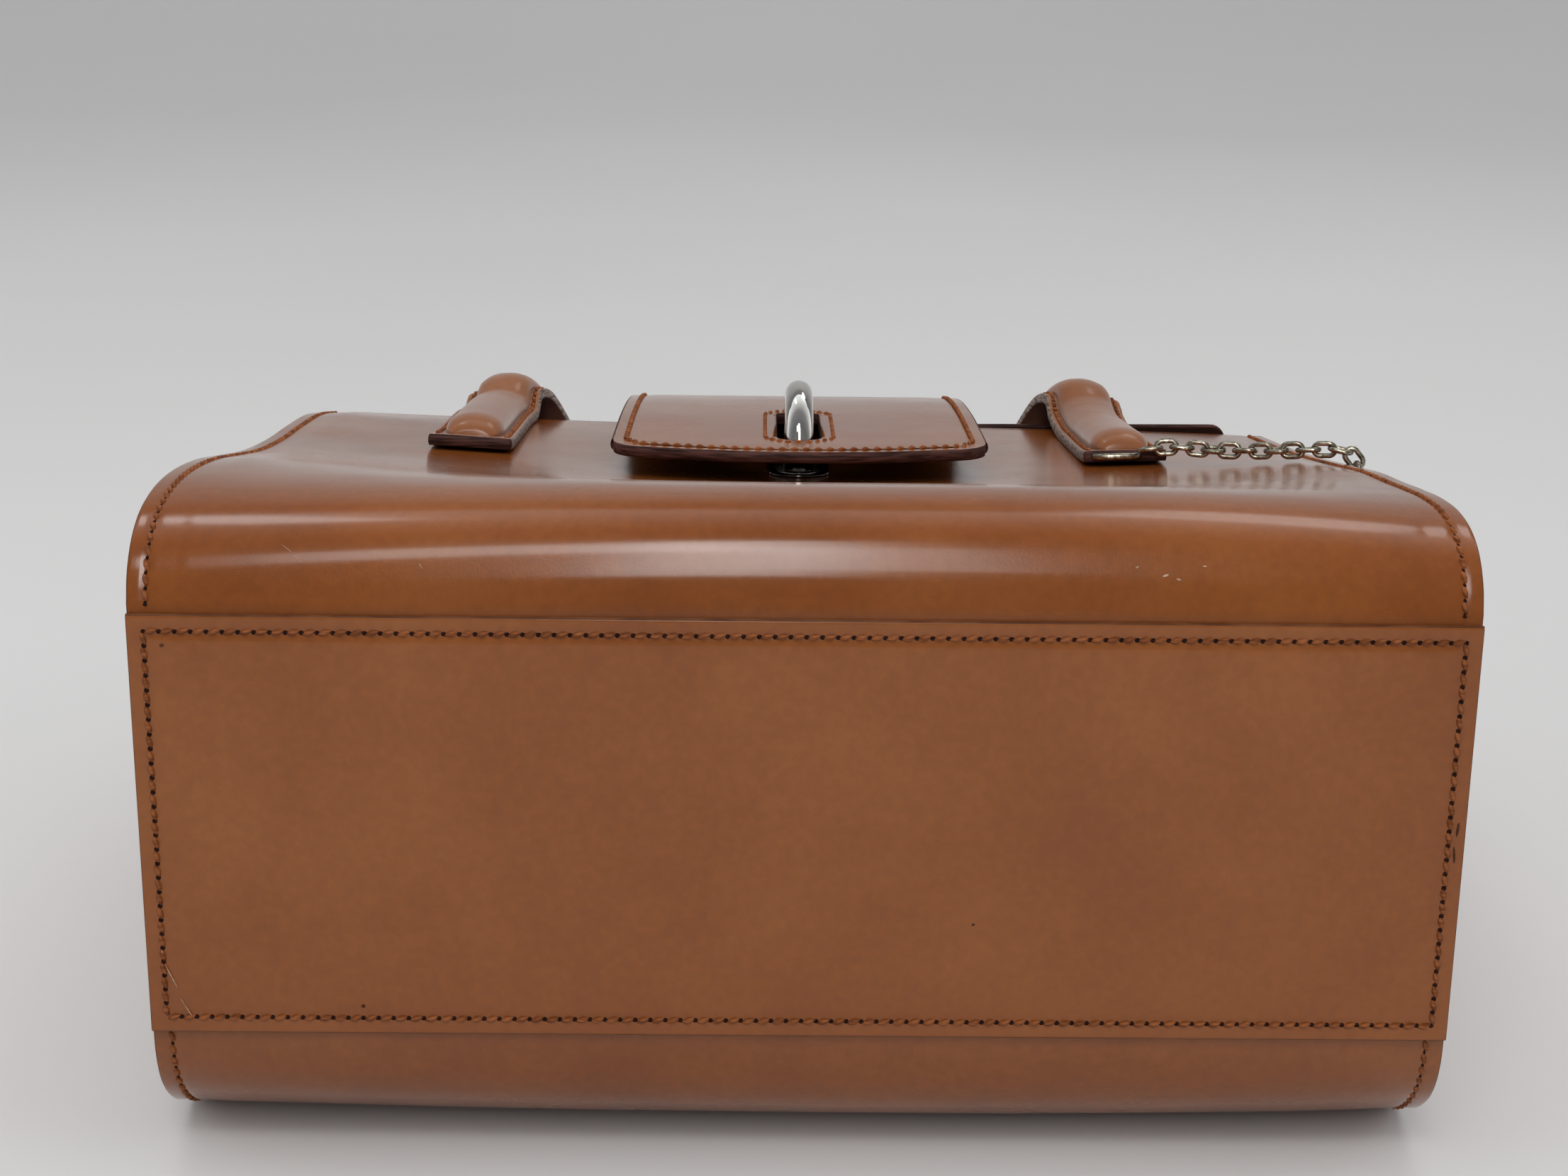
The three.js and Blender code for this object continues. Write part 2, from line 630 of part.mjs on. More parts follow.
// The padded roll on the strap, with a domed end near each tab.
function rollGeometry() {
  const sides = 8;
  const domeSteps = [0.04, 0.12, 0.35, 0.7];
  const endWidth = 0.55;
  const squareness = 0.8;
  const base = STRAP_WALL / 2 + CLEARANCE;
  const stations = handleStations();
  const travelled = [0];
  for (let i = 1; i < stations.length; i += 1) {
    travelled.push(travelled[i - 1] + stations[i].place.distanceTo(stations[i - 1].place));
  }
  const total = travelled.at(-1);
  const fromEnd = (mark) => Math.min(mark, total - mark) - ROLL_SETBACK;
  const dome = domeSteps.map((share) => ROLL_SETBACK + share * ROLL_DOME);
  const body = travelled.filter((mark) => fromEnd(mark) > ROLL_DOME);
  const marks = [...dome, ...body, ...dome.map((mark) => total - mark).reverse()];
  const rings = marks.map((mark) => {
    const next = Math.max(1, travelled.findIndex((distance) => distance >= mark));
    const share = (mark - travelled[next - 1]) / (travelled[next] - travelled[next - 1]);
    const mix = (key) => stations[next - 1][key].clone().lerp(stations[next][key], share);
    const station = {
      place: mix('place'),
      across: mix('across').normalize(),
      face: mix('face').normalize(),
    };
    const swell = Math.sqrt(1 - (1 - Math.min(1, fromEnd(mark) / ROLL_DOME)) ** 2);
    const half = ROLL_WIDTH / 2 * THREE.MathUtils.lerp(endWidth, 1, swell);
    return Array.from({ length: sides + 1 }, (_, k) => {
      const angle = Math.PI * k / sides;
      const rise = Math.sin(angle) ** squareness * ROLL_RISE * swell;
      return stationPoint(station, Math.cos(angle) * half, base + rise);
    });
  });
  return loftGeometry(rings);
}

// A flat oval loop of round wire in the plane of X and Y.
function ovalGeometry(length, width, wire, segments, sides) {
  const radius = (width - wire) / 2;
  const torus = new THREE.TorusGeometry(radius, wire / 2, sides, segments);
  torus.deleteAttribute('normal');
  torus.deleteAttribute('uv');
  const geometry = mergeVertices(torus, 1e-4);
  const place = geometry.attributes.position;
  for (let i = 0; i < place.count; i += 1) {
    place.setX(i, place.getX(i) + Math.sign(place.getX(i)) * (length - width) / 2);
  }
  return geometry;
}

// The ring lies in the tab's notch, its front bar free before the tab's end.
function ringGeometry() {
  const { tab, middle } = ringPlace();
  const ring = ovalGeometry(RING_WIDTH, RING_DEPTH, RING_WIRE, 14, 6);
  ring.applyMatrix4(new THREE.Matrix4().makeBasis(tab.across, tab.along, tab.face));
  const back = -(RING_DEPTH - RING_WIRE) / 2;
  ring.translate(...middle.clone().addScaledVector(tab.along, back).toArray());
  return ring;
}

function chainRoute() {
  const { middle } = ringPlace();
  const start = middle.x + RING_WIDTH / 2;
  return smoothCurve(CHAIN_ROUTE.map((row) => {
    const x = THREE.MathUtils.lerp(start, WIDTH / 2, row.out);
    const up = middle.y - row.down * CHAIN_DROP;
    const panel = frontDepth(Math.min(x, WIDTH / 2), up);
    return new THREE.Vector3(x, up, panel + row.lift * LINK_WIDTH);
  }));
}

// Each link follows the route and is rolled a quarter turn against the one before it.
function linkGeometry(number, route) {
  const length = route.getLength();
  const at = (distance) => route.getPointAt(Math.min(1, Math.max(0, distance / length)));
  const centre = number * LINK_PITCH;
  const along = at(centre + LINK_PITCH / 2).sub(at(centre - LINK_PITCH / 2)).normalize();
  const side = new THREE.Vector3(0, 1, 0).cross(along).normalize();
  const roll = THREE.MathUtils.degToRad(LINK_ROLLS[number % LINK_ROLLS.length]);
  const across = side.clone().applyAxisAngle(along, roll);
  const link = ovalGeometry(LINK_LENGTH, LINK_WIDTH, LINK_WIRE, 14, 6);
  link.applyMatrix4(new THREE.Matrix4().makeBasis(along, across, along.clone().cross(across)));
  link.translate(...at(centre).toArray());
  return link;
}

const bag = new THREE.Group();

function addPiece(name, geometry, color, roughness, metalness) {
  const material = new THREE.MeshStandardMaterial({ color, roughness, metalness });
  const mesh = new THREE.Mesh(geometry, material);
  mesh.name = name;
  bag.add(mesh);
}

function addLeather(name, geometry, color = '#8a4a22') {
  addPiece(name, geometry, color, 0.3, 0);
}

addLeather('body_wrap', wrapGeometry());
addLeather('base_panel', basePanelGeometry());
addLeather('gusset_left', gussetGeometry(-1));
addLeather('gusset_right', gussetGeometry(1));
addLeather('flap', flapGeometry());
addLeather('handle_strap', strapGeometry());
addLeather('handle_roll', rollGeometry());
addPiece('closure_plate', plateGeometry(), '#c9c9c6', 0.12, 1);
addPiece('closure_staple', stapleGeometry(), '#c9c9c6', 0.08, 1);
addPiece('chain_ring', ringGeometry(), '#8f8a7c', 0.25, 1);

const route = chainRoute();
for (let number = 0; number < LINK_COUNT; number += 1) {
  const name = `chain_link_${String(number + 1).padStart(2, '0')}`;
  addPiece(name, linkGeometry(number, route), '#8f8a7c', 0.25, 1);
}

// Laid on its back: the back panel is level, and the middle of its flat face is the origin.
const REST_UP = (BASE_FACE + BACK_TURN + HEIGHT) / 2;
const restPoint = new THREE.Vector3(0, REST_UP, backDepth(REST_UP));
bag.rotation.x = -LEAN;
bag.position.copy(restPoint.applyAxisAngle(new THREE.Vector3(1, 0, 0), -LEAN).negate());

const handbag = new THREE.Group();
handbag.add(bag);
handbag.updateMatrixWorld(true);

export default handbag;
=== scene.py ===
import math

import bmesh
import bpy
import numpy as np
from mathutils import Matrix, Vector


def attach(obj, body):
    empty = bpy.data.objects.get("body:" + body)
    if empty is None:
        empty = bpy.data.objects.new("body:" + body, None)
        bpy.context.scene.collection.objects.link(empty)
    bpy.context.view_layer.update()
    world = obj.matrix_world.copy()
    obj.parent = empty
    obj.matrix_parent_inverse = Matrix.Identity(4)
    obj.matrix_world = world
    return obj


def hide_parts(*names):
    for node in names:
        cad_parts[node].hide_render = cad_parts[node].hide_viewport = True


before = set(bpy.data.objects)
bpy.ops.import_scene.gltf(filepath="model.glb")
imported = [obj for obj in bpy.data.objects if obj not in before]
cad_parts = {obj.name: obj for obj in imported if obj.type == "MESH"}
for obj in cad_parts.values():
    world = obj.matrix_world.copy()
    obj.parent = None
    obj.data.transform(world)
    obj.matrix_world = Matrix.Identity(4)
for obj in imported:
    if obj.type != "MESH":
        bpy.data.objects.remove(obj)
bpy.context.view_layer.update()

# Everything is modelled in the bag's own upright frame, in millimetres: X across the bag, Y from
# the base to the top, Z from the back panel to the front panel. to_world() lays it on its back.

# Overall size
WIDTH = 310
HEIGHT = 250
DEPTH = 160
LEAN = math.radians(4)
MM = 0.001

# Leather body
WALL = 2.2
PANEL_THICKNESS = 1.7
FRONT_SEAM = 0.8606 * DEPTH
BACK_SEAM = 0.2156 * DEPTH
BASE_FACE = PANEL_THICKNESS + 0.3
BACK_TURN = 44
BACK_RISE = 36.8
SIDE_STRIP = 11
SAG_POWER_LEFT = 1.7
SAG_POWER_RIGHT = 3.2

# Side gussets
GUSSET_WALL = 2
GUSSET_RECESS = 8
GUSSET_DROP = 4
FOLD_DEPTH = 14
FOLD_SPREAD = 24
GUSSET_GAP = 0.3

# Flap
COVER_WIDTH = 289
COVER_WALL = 2.4
COVER_DEPTH = 0.82 * DEPTH
COVER_SKEW = 2.4
COVER_RISE = 9.2
COVER_CORNER = 5
COVER_REACH = 24
TAB_WIDTH = 104.6
TAB_WALL = 3.2
TAB_LENGTH = 134
TAB_END = HEIGHT - TAB_LENGTH
TAB_BOW = 6
TAB_CORNER = 11

# Closure
STAPLE_BAR = 8.2
STAPLE_SPAN = 34
STAPLE_TOP = 0.94 * DEPTH + 14.1
SLOT_SETBACK = 18
SLOT_PLAY = 1.9
SLOT_SIDE_PLAY = 2.4
SLOT_CORNER = 4
RIM_WIDTH = 0.9
RIM_PROUD = 0.12
SLOT_WIDTH = STAPLE_BAR + 2 * SLOT_SIDE_PLAY
SLOT_LENGTH = STAPLE_SPAN + STAPLE_BAR + 2 * SLOT_PLAY
SLOT_START = TAB_END + SLOT_SETBACK
STAPLE_START = SLOT_START + SLOT_PLAY + STAPLE_BAR / 2
PLATE_WIDTH = STAPLE_BAR + 8.8
PLATE_LENGTH = STAPLE_SPAN + STAPLE_BAR + 9.2
PLATE_WALL = 1.5
PLATE_GAP = 0.1

# Handle
STRAP_WIDTH = 23.4
STRAP_WALL = 3.4
STRAP_OUT = 96
ROLL_WIDTH = 17.6
ROLL_RISE = 6
ROLL_SETBACK = 5
ROLL_DOME = 11

# Chain
RING_WIRE = 1.9
RING_WIDTH = 15
RING_DEPTH = 9
LINK_WIRE = 1.2
LINK_LENGTH = 7.2
LINK_WIDTH = 5
LINK_COUNT = 16
LINK_SWELL = 0.3

# Stitches
STITCH_PITCH = 3.6
STITCH_INSET = 4.0
THREAD = 0.64
TAB_STITCH_INSET = 3.4
TAB_STITCH_PITCH = 3.3
SLOT_STITCH_INSET = 3.2
SLOT_STITCH_PITCH = 2.9
HANDLE_STITCH_INSET = 1.3
HANDLE_STITCH_PITCH = 3.0

# Wear. On the base: x, z, half length, half width, turn in degrees, tone
BASE_WEAR = [
    (-149.5, 48.5, 3.6, 0.14, -66, "pale"),
    (-146.4, 40.6, 3.2, 0.12, -62, "pale"),
    (-151.2, 54.5, 1.2, 0.18, -70, "pale"),
    (153.2, 88.5, 1.8, 0.3, 85, "dark"),
    (152.9, 82.2, 2.2, 0.26, 96, "dark"),
    (40.4, 63.6, 0.45, 0.35, 0, "dark"),
    (-104.4, 41.4, 0.5, 0.4, 0, "dark"),
    (-147.2, 130.8, 0.5, 0.35, 0, "dark"),
]

# On the front panel: x, up, half length, half width, turn in degrees, tone
FRONT_WEAR = [
    (82.0, 3.8, 0.8, 0.3, 20, "pale"),
    (85.0, 3.5, 0.6, 0.25, -15, "pale"),
    (75.5, 4.5, 0.5, 0.2, 30, "pale"),
    (91.0, 4.8, 0.5, 0.2, 0, "pale"),
    (-54.0, 27.2, 0.8, 0.5, 10, "dark"),
    (-119.0, 7.0, 1.7, 0.09, -40, "pale"),
    (-116.5, 5.5, 1.7, 0.08, -48, "pale"),
    (-88.0, 4.2, 1.2, 0.08, -60, "pale"),
]

# up, left, middle, right of the front panel, as in the CAD model
FRONT_ROWS = np.array([
    (1.0, 0.848, 0.828, 0.818),
    (0.879, 0.881, 0.841, 0.84),
    (0.758, 0.897, 0.854, 0.864),
    (0.637, 0.909, 0.868, 0.891),
    (0.516, 0.929, 0.885, 0.92),
    (0.395, 0.96, 0.909, 0.95),
    (0.298, 0.986, 0.949, 0.967),
    (0.222, 1.0, 0.981, 0.981),
    (0.157, 1.005, 1.004, 0.991),
    (0.105, 1.0, 1.014, 0.992),
    (0.06, 0.984, 1.006, 0.98),
    (0.028, 0.955, 0.98, 0.954),
    (0.008, 0.915, 0.934, 0.915),
    (0.0, 0.875, 0.875, 0.875),
])

# up, side, middle of the corner between base and back panel
BACK_ROWS = np.array([
    (0.0, 1.0, 1.0),
    (0.01, 0.837, 0.837),
    (0.055, 0.655, 0.605),
    (0.148, 0.478, 0.41),
    (0.341, 0.265, 0.205),
    (0.591, 0.103, 0.066),
    (0.773, 0.033, 0.02),
    (1.0, 0.0, 0.0),
])

# out, up, lift of the handle where it lies on the front panel
HANDLE_LYING = [
    (1.0, 0.632, 0.45),
    (1.0, 0.672, 0.22),
    (1.0, 0.736, 0.13),
    (1.0, 0.82, 0.13),
    (1.0, 0.9, 0.18),
]

# out, up, deep, tip of the handle where it arches over the top edge and hangs behind it
HANDLE_FREE = [
    (0.997, 0.968, 0.86, 0),
    (0.99, 1.012, 0.881, 25),
    (0.955, 1.05, 0.852, 60),
    (0.9, 1.072, 0.78, 80),
    (0.83, 1.082, 0.68, 90),
    (0.7, 1.086, 0.55, 90),
    (0.48, 1.088, 0.43, 90),
    (0.24, 1.088, 0.365, 90),
]
HANDLE_MIDDLE = (0, 1.088, 0.345, 90)

# past, deep of the cover's middle line
COVER_ROWS = [
    (0.163, 0.146),
    (0.707, 0.185),
    (0.87, 0.267),
    (0.978, 0.461),
    (1.0, 0.687),
    (0.924, 0.882),
    (0.815, 1.03),
]

# down, deep of the tab's middle line
TAB_ROWS = [
    (-0.068, 0.625),
    (-0.063, 0.74),
    (-0.0485, 0.815),
    (-0.004, 0.874),
    (0.075, 0.892),
    (0.261, 0.915),
    (0.522, 0.932),
    (0.746, 0.938),
    (0.866, 0.94),
    (1.045, 0.944),
]


def back_depth(up):
    return (up - BASE_FACE - BACK_TURN) * math.tan(LEAN)


REST_UP = (BASE_FACE + BACK_TURN + HEIGHT) / 2
TURN = np.array([
    (1, 0, 0),
    (0, math.cos(LEAN), math.sin(LEAN)),
    (0, -math.sin(LEAN), math.cos(LEAN)),
])
SHIFT = TURN @ np.array([0, REST_UP, back_depth(REST_UP)])


def to_world(points):
    """Bag frame in millimetres to the shared frame in metres."""
    return (np.asarray(points, float) @ TURN.T - SHIFT) * MM


def unit(vectors):
    vectors = np.asarray(vectors, float)
    return vectors / np.maximum(np.linalg.norm(vectors, axis=-1, keepdims=True), 1e-12)


def smooth_curve(points, steps):
    """Centripetal Catmull-Rom curve through the points, with the same steps in each span."""
    points = np.asarray(points, float)
    ends = np.vstack([2 * points[0] - points[1], points, 2 * points[-1] - points[-2]])
    weights = (np.arange(steps) / steps)[:, None]
    spans = []
    for a, b, c, d in zip(ends, ends[1:], ends[2:], ends[3:]):
        ab, bc, cd = (math.sqrt(max(np.linalg.norm(q - p), 1e-6)) for p, q in ((a, b), (b, c), (c, d)))
        start = ((b - a) / ab - (c - a) / (ab + bc) + (c - b) / bc) * bc
        end = ((c - b) / bc - (d - b) / (bc + cd) + (d - c) / cd) * bc
        square = -3 * b + 3 * c - 2 * start - end
        cube = 2 * b - 2 * c + start + end
        spans.append(b + start * weights + square * weights ** 2 + cube * weights ** 3)
    return np.vstack(spans + [points[-1:]])


def travelled(points):
    return np.concatenate([[0], np.cumsum(np.linalg.norm(np.diff(points, axis=0), axis=1))])


def at_distances(points, distances):
    lengths = travelled(points)
    return np.stack([np.interp(distances, lengths, points[:, k]) for k in range(3)], axis=1)


def section_at(x, steps=6, flat_steps=12):
    """Outline of the wrap's outer face at x, from the front panel's top edge round to the back's."""
    power = SAG_POWER_LEFT if x < 0 else SAG_POWER_RIGHT
    share = min(1, abs(x) / (WIDTH / 2 - SIDE_STRIP)) ** power
    side = FRONT_ROWS[:, 1] if x < 0 else FRONT_ROWS[:, 3]
    deep = (FRONT_ROWS[:, 2] + (side - FRONT_ROWS[:, 2]) * share) * DEPTH
    up = BASE_FACE + FRONT_ROWS[:, 0] * (HEIGHT - BASE_FACE)
    front = np.stack([np.full_like(up, x), up, deep], axis=1)
    up = BASE_FACE + BACK_ROWS[:, 0] * BACK_TURN
    lift = (BACK_ROWS[:, 2] + (BACK_ROWS[:, 1] - BACK_ROWS[:, 2]) * share) * BACK_RISE
    corner = np.stack([np.full_like(up, x), up, back_depth(up) + lift], axis=1)
    end = np.array([x, HEIGHT, back_depth(HEIGHT)])
    between = np.arange(1, flat_steps)[:, None] / flat_steps
    base = front[-1] + (corner[0] - front[-1]) * between
    flat = corner[-1] + (end - corner[-1]) * np.vstack([between, [[1]]])
    return np.vstack([smooth_curve(front, steps), base, smooth_curve(corner, steps), flat])


def front_depth(x, up):
    points = section_at(x)[:len(FRONT_ROWS) * 6 - 5]
    return float(np.interp(up, points[::-1, 1], points[::-1, 2]))


def front_normal(x, up):
    step = 2
    top = min(up, HEIGHT - step)
    across = (front_depth(x + step, top) - front_depth(x - step, top)) / (2 * step)
    along = (front_depth(x, top + step) - front_depth(x, top - step)) / (2 * step)
    return unit([-across, -along, 1])


def grid_normals(grid):
    rows = np.gradient(grid, axis=0)
    columns = np.gradient(grid, axis=1)
    return unit(np.cross(rows, columns))


# Mesh helpers

def add_object(name, mesh, materials):
    piece = bpy.data.objects.new(name, mesh)
    bpy.context.scene.collection.objects.link(piece)
    for material in materials:
        mesh.materials.append(material)
    return piece


def add_piece(name, points, faces, materials, slots=None, replaces=()):
    """A closed mesh in the bag frame, its faces turned out, riding on the bag."""
    mesh = bpy.data.meshes.new(name)
    mesh.from_pydata(to_world(points).tolist(), [], [tuple(face) for face in faces])
    if slots is not None:
        mesh.polygons.foreach_set("material_index", np.asarray(slots, dtype=np.int32))
    mesh.polygons.foreach_set("use_smooth", np.ones(len(mesh.polygons), dtype=bool))
    form = bmesh.new()
    form.from_mesh(mesh)
    bmesh.ops.recalc_face_normals(form, faces=form.faces)
    form.to_mesh(mesh)
    form.free()
    piece = add_object(name, mesh, materials)
    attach(piece, "root")
    if replaces:
        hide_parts(*replaces)
    return piece


def sheet(top, bottom, bulge, rim_steps=5):
    """Closed sheet between two grids with a rounded rim. Slot 0 is the face, 1 the rim, 2 the back."""
    rows, columns = top.shape[:2]
    loop = [(0, j) for j in range(columns)]
    loop += [(i, columns - 1) for i in range(1, rows)]
    loop += [(rows - 1, j) for j in range(columns - 2, -1, -1)]
    loop += [(i, 0) for i in range(rows - 2, 0, -1)]
    points = [top.reshape(-1, 3), bottom.reshape(-1, 3)]
    faces = []
    slots = []
    size = rows * columns
    for i in range(rows - 1):
        for j in range(columns - 1):
            a, b = i * columns + j, (i + 1) * columns + j
            faces.append((a, a + 1, b + 1, b))
            faces.append((size + a, size + b, size + b + 1, size + a + 1))
            slots += [0, 2]
    upper = np.array([top[i, j] for i, j in loop])
    lower = np.array([bottom[i, j] for i, j in loop])
    inner = []
    for i, j in loop:
        near = (min(max(i, 1), rows - 2), min(max(j, 1), columns - 2))
        inner.append((top[near] + bottom[near]) / 2)
    middle = (upper + lower) / 2
    half = (upper - lower) / 2
    outward = middle - np.array(inner)
    straight = unit(half)
    outward = unit(outward - straight * np.sum(outward * straight, axis=1, keepdims=True))
    rings = [np.array([i * columns + j for i, j in loop])]
    offset = 2 * size
    for k in range(1, rim_steps):
        angle = math.pi * k / rim_steps
        points.append(middle + half * math.cos(angle) + outward * bulge * math.sin(angle))
        rings.append(offset + np.arange(len(loop)))
        offset += len(loop)
    rings.append(size + rings[0])
    for first, second in zip(rings, rings[1:]):
        for k in range(len(loop)):
            following = (k + 1) % len(loop)
            faces.append((first[k], first[following], second[following], second[k]))
            slots.append(1)
    return np.vstack(points), faces, slots


def loft(rings, closed=False):
    """Body through rings of points, closed by caps or joined end to end."""
    rings = np.asarray(rings, float)
    count, size = rings.shape[:2]
    faces = []
    for i in range(count if closed else count - 1):
        for j in range(size):
            a, b = i * size, ((i + 1) % count) * size
            faces.append((a + j, a + (j + 1) % size, b + (j + 1) % size, b + j))
    if not closed:
        faces.append(tuple(range(size)))
        faces.append(tuple((count - 1) * size + j for j in range(size)))
    return rings.reshape(-1, 3), faces


def join(parts):
    """One list of points and faces from several."""
    points = []
    faces = []
    offset = 0
    for part_points, part_faces in parts:
        points.append(part_points)
        faces += [tuple(offset + index for index in face) for face in part_faces]
        offset += len(part_points)
    return np.vstack(points), faces


# Node materials

def new_material(name):
    material = bpy.data.materials.new(name)
    material.use_nodes = True
    nodes = material.node_tree.nodes
    return material, nodes, material.node_tree.links, nodes["Principled BSDF"]


def set_inputs(shader, **values):
    for key, value in values.items():
        shader.inputs[key.replace("_", " ")].default_value = value


def noise_node(nodes, links, place, scale, detail=3, roughness=0.5, stretch=(1, 1, 1)):
    mapping = nodes.new("ShaderNodeMapping")
    mapping.inputs["Scale"].default_value = stretch
    links.new(place, mapping.inputs["Vector"])
    noise = nodes.new("ShaderNodeTexNoise")
    noise.inputs["Scale"].default_value = scale
    noise.inputs["Detail"].default_value = detail
    noise.inputs["Roughness"].default_value = roughness
    links.new(mapping.outputs["Vector"], noise.inputs["Vector"])
    return noise.outputs["Fac"]


def ramp_node(nodes, links, value, stops):
    ramp = nodes.new("ShaderNodeValToRGB")
    ramp.color_ramp.elements[0].position, ramp.color_ramp.elements[0].color = stops[0]
    ramp.color_ramp.elements[1].position, ramp.color_ramp.elements[1].color = stops[-1]
    for position, color in stops[1:-1]:
        ramp.color_ramp.elements.new(position).color = color
    links.new(value, ramp.inputs["Fac"])
    return ramp.outputs["Color"]


def range_node(nodes, links, value, low, high, start=0.3, end=0.7):
    scale = nodes.new("ShaderNodeMapRange")
    for key, number in (("From Min", start), ("From Max", end), ("To Min", low), ("To Max", high)):
        scale.inputs[key].default_value = number
    links.new(value, scale.inputs["Value"])
    return scale.outputs["Result"]


def bump_node(nodes, links, height, strength, distance, before=None):
    bump = nodes.new("ShaderNodeBump")
    bump.inputs["Strength"].default_value = strength
    bump.inputs["Distance"].default_value = distance
    links.new(height, bump.inputs["Height"])
    if before is not None:
        links.new(before, bump.inputs["Normal"])
    return bump.outputs["Normal"]


def object_place(nodes):
    return nodes.new("ShaderNodeTexCoord").outputs["Object"]


def leather_material(name, dark, middle, light, roughness=(0.2, 0.3), coat=0.75):
    """Polished tan leather: cloudy dye, fine grain, a thin gloss coat."""
    material, nodes, links, shader = new_material(name)
    place = object_place(nodes)
    cloud = noise_node(nodes, links, place, 15, detail=5, roughness=0.62)
    dye = ramp_node(nodes, links, cloud, [(0.34, dark), (0.5, middle), (0.66, light)])
    speck = noise_node(nodes, links, place, 420, detail=2)
    shade = range_node(nodes, links, speck, 0.93, 1.05)
    combined = nodes.new("ShaderNodeVectorMath")
    combined.operation = "SCALE"
    links.new(dye, combined.inputs[0])
    links.new(shade, combined.inputs["Scale"])
    links.new(combined.outputs[0], shader.inputs["Base Color"])
    wear = noise_node(nodes, links, place, 45, detail=4)
    links.new(range_node(nodes, links, wear, *roughness), shader.inputs["Roughness"])
    pores = noise_node(nodes, links, place, 1500, detail=2)
    links.new(bump_node(nodes, links, pores, 0.2, 0.0002), shader.inputs["Normal"])
    set_inputs(shader, Coat_Weight=coat, Coat_Roughness=0.15, Coat_IOR=1.5)
    shader.inputs["Specular IOR Level"].default_value = 0.15
    return material


def paint_material(name, dark, light, roughness):
    """Layered edge paint, darker and lighter in thin streaks along the edge."""
    material, nodes, links, shader = new_material(name)
    place = object_place(nodes)
    streak = noise_node(nodes, links, place, 900, detail=3, stretch=(0.12, 0.3, 1.6))
    tone = ramp_node(nodes, links, streak, [(0.38, dark), (0.62, light)])
    links.new(tone, shader.inputs["Base Color"])
    links.new(bump_node(nodes, links, streak, 0.3, 0.0004), shader.inputs["Normal"])
    set_inputs(shader, Roughness=roughness)
    shader.inputs["Specular IOR Level"].default_value = 0.12
    return material


def metal_material(name, dark, light, roughness, tarnish_scale):
    material, nodes, links, shader = new_material(name)
    place = object_place(nodes)
    tarnish = noise_node(nodes, links, place, tarnish_scale, detail=4)
    tone = ramp_node(nodes, links, tarnish, [(0.36, dark), (0.6, light)])
    links.new(tone, shader.inputs["Base Color"])
    links.new(range_node(nodes, links, tarnish, roughness[1], roughness[0]), shader.inputs["Roughness"])
    set_inputs(shader, Metallic=1.0)
    return material


LEATHER = leather_material(
    "tan_leather", (0.205, 0.056, 0.01, 1), (0.235, 0.067, 0.013, 1), (0.26, 0.078, 0.016, 1))
BASE_LEATHER = leather_material(
    "base_leather", (0.228, 0.066, 0.013, 1), (0.254, 0.076, 0.016, 1), (0.28, 0.088, 0.019, 1),
    roughness=(0.3, 0.4), coat=0.5)
INSIDE = leather_material(
    "flesh_side", (0.09, 0.036, 0.024, 1), (0.12, 0.05, 0.034, 1), (0.15, 0.064, 0.045, 1),
    roughness=(0.6, 0.8), coat=0.0)
# The flap's underside is painted near black: painted shade for the dark gap under the flap.
PAINTED_SHADE_UNDERSIDE = leather_material(
    "flap_underside_painted_shade", (0.02, 0.006, 0.003, 1), (0.028, 0.009, 0.004, 1), (0.036, 0.012, 0.006, 1),
    roughness=(0.6, 0.8), coat=0.0)
# Handle leather: its own tan, made paler and greyer as a painted sheen for the pinkish grey reflection
# on the roll.
HANDLE_LEATHER_PAINTED_SHEEN = leather_material(
    "handle_leather_painted_sheen", (0.235, 0.082, 0.028, 1), (0.265, 0.097, 0.036, 1), (0.29, 0.112, 0.045, 1),
    roughness=(0.35, 0.45), coat=0.45)
HANDLE_SHADER = HANDLE_LEATHER_PAINTED_SHEEN.node_tree.nodes["Principled BSDF"]
set_inputs(HANDLE_SHADER, Sheen_Weight=0.25, Sheen_Roughness=0.4)
PAINT = paint_material("edge_paint", (0.022, 0.008, 0.006, 1), (0.085, 0.034, 0.027, 1), 0.5)
WORN_EDGE = paint_material("worn_edge", (0.1, 0.066, 0.054, 1), (0.3, 0.24, 0.21, 1), 0.5)
SEAM_EDGE = paint_material("seam_edge", (0.09, 0.03, 0.012, 1), (0.15, 0.055, 0.022, 1), 0.35)
THREAD_TONE = paint_material("thread", (0.15, 0.044, 0.014, 1), (0.3, 0.1, 0.034, 1), 0.5)
PALE_WEAR = paint_material("pale_scuff", (0.36, 0.2, 0.12, 1), (0.52, 0.36, 0.26, 1), 0.6)
DARK_WEAR = paint_material("dark_scuff", (0.05, 0.017, 0.008, 1), (0.09, 0.032, 0.015, 1), 0.6)
# Needle holes are painted near black: painted shade in the hole at each stitch.
HOLE_PAINTED_SHADE = paint_material("needle_hole_painted_shade", (0.012, 0.004, 0.003, 1), (0.028, 0.008, 0.005, 1), 0.8)
CHROME = metal_material("chrome_metal", (0.84, 0.82, 0.77, 1), (0.92, 0.9, 0.86, 1), (0.05, 0.09), 300)
# The plate's metal is painted dark grey: painted shade and dark reflection for the plate under the flap.
PAINTED_SHADE_PLATE_METAL = metal_material(
    "plate_metal_painted_shade", (0.09, 0.085, 0.08, 1), (0.16, 0.15, 0.14, 1), (0.12, 0.2), 300)
SILVER = metal_material("chain_metal", (0.2, 0.17, 0.12, 1), (0.56, 0.52, 0.42, 1), (0.22, 0.4), 700)


# Body

def ripple(x, along):
    """Slight waviness of a stretched leather panel, in millimetres."""
    return (0.045 * np.sin(x / 17.0 + 1.1 * np.sin(along / 41.0))
            + 0.03 * np.sin(along / 23.0 + 0.8 * np.sin(x / 33.0)))


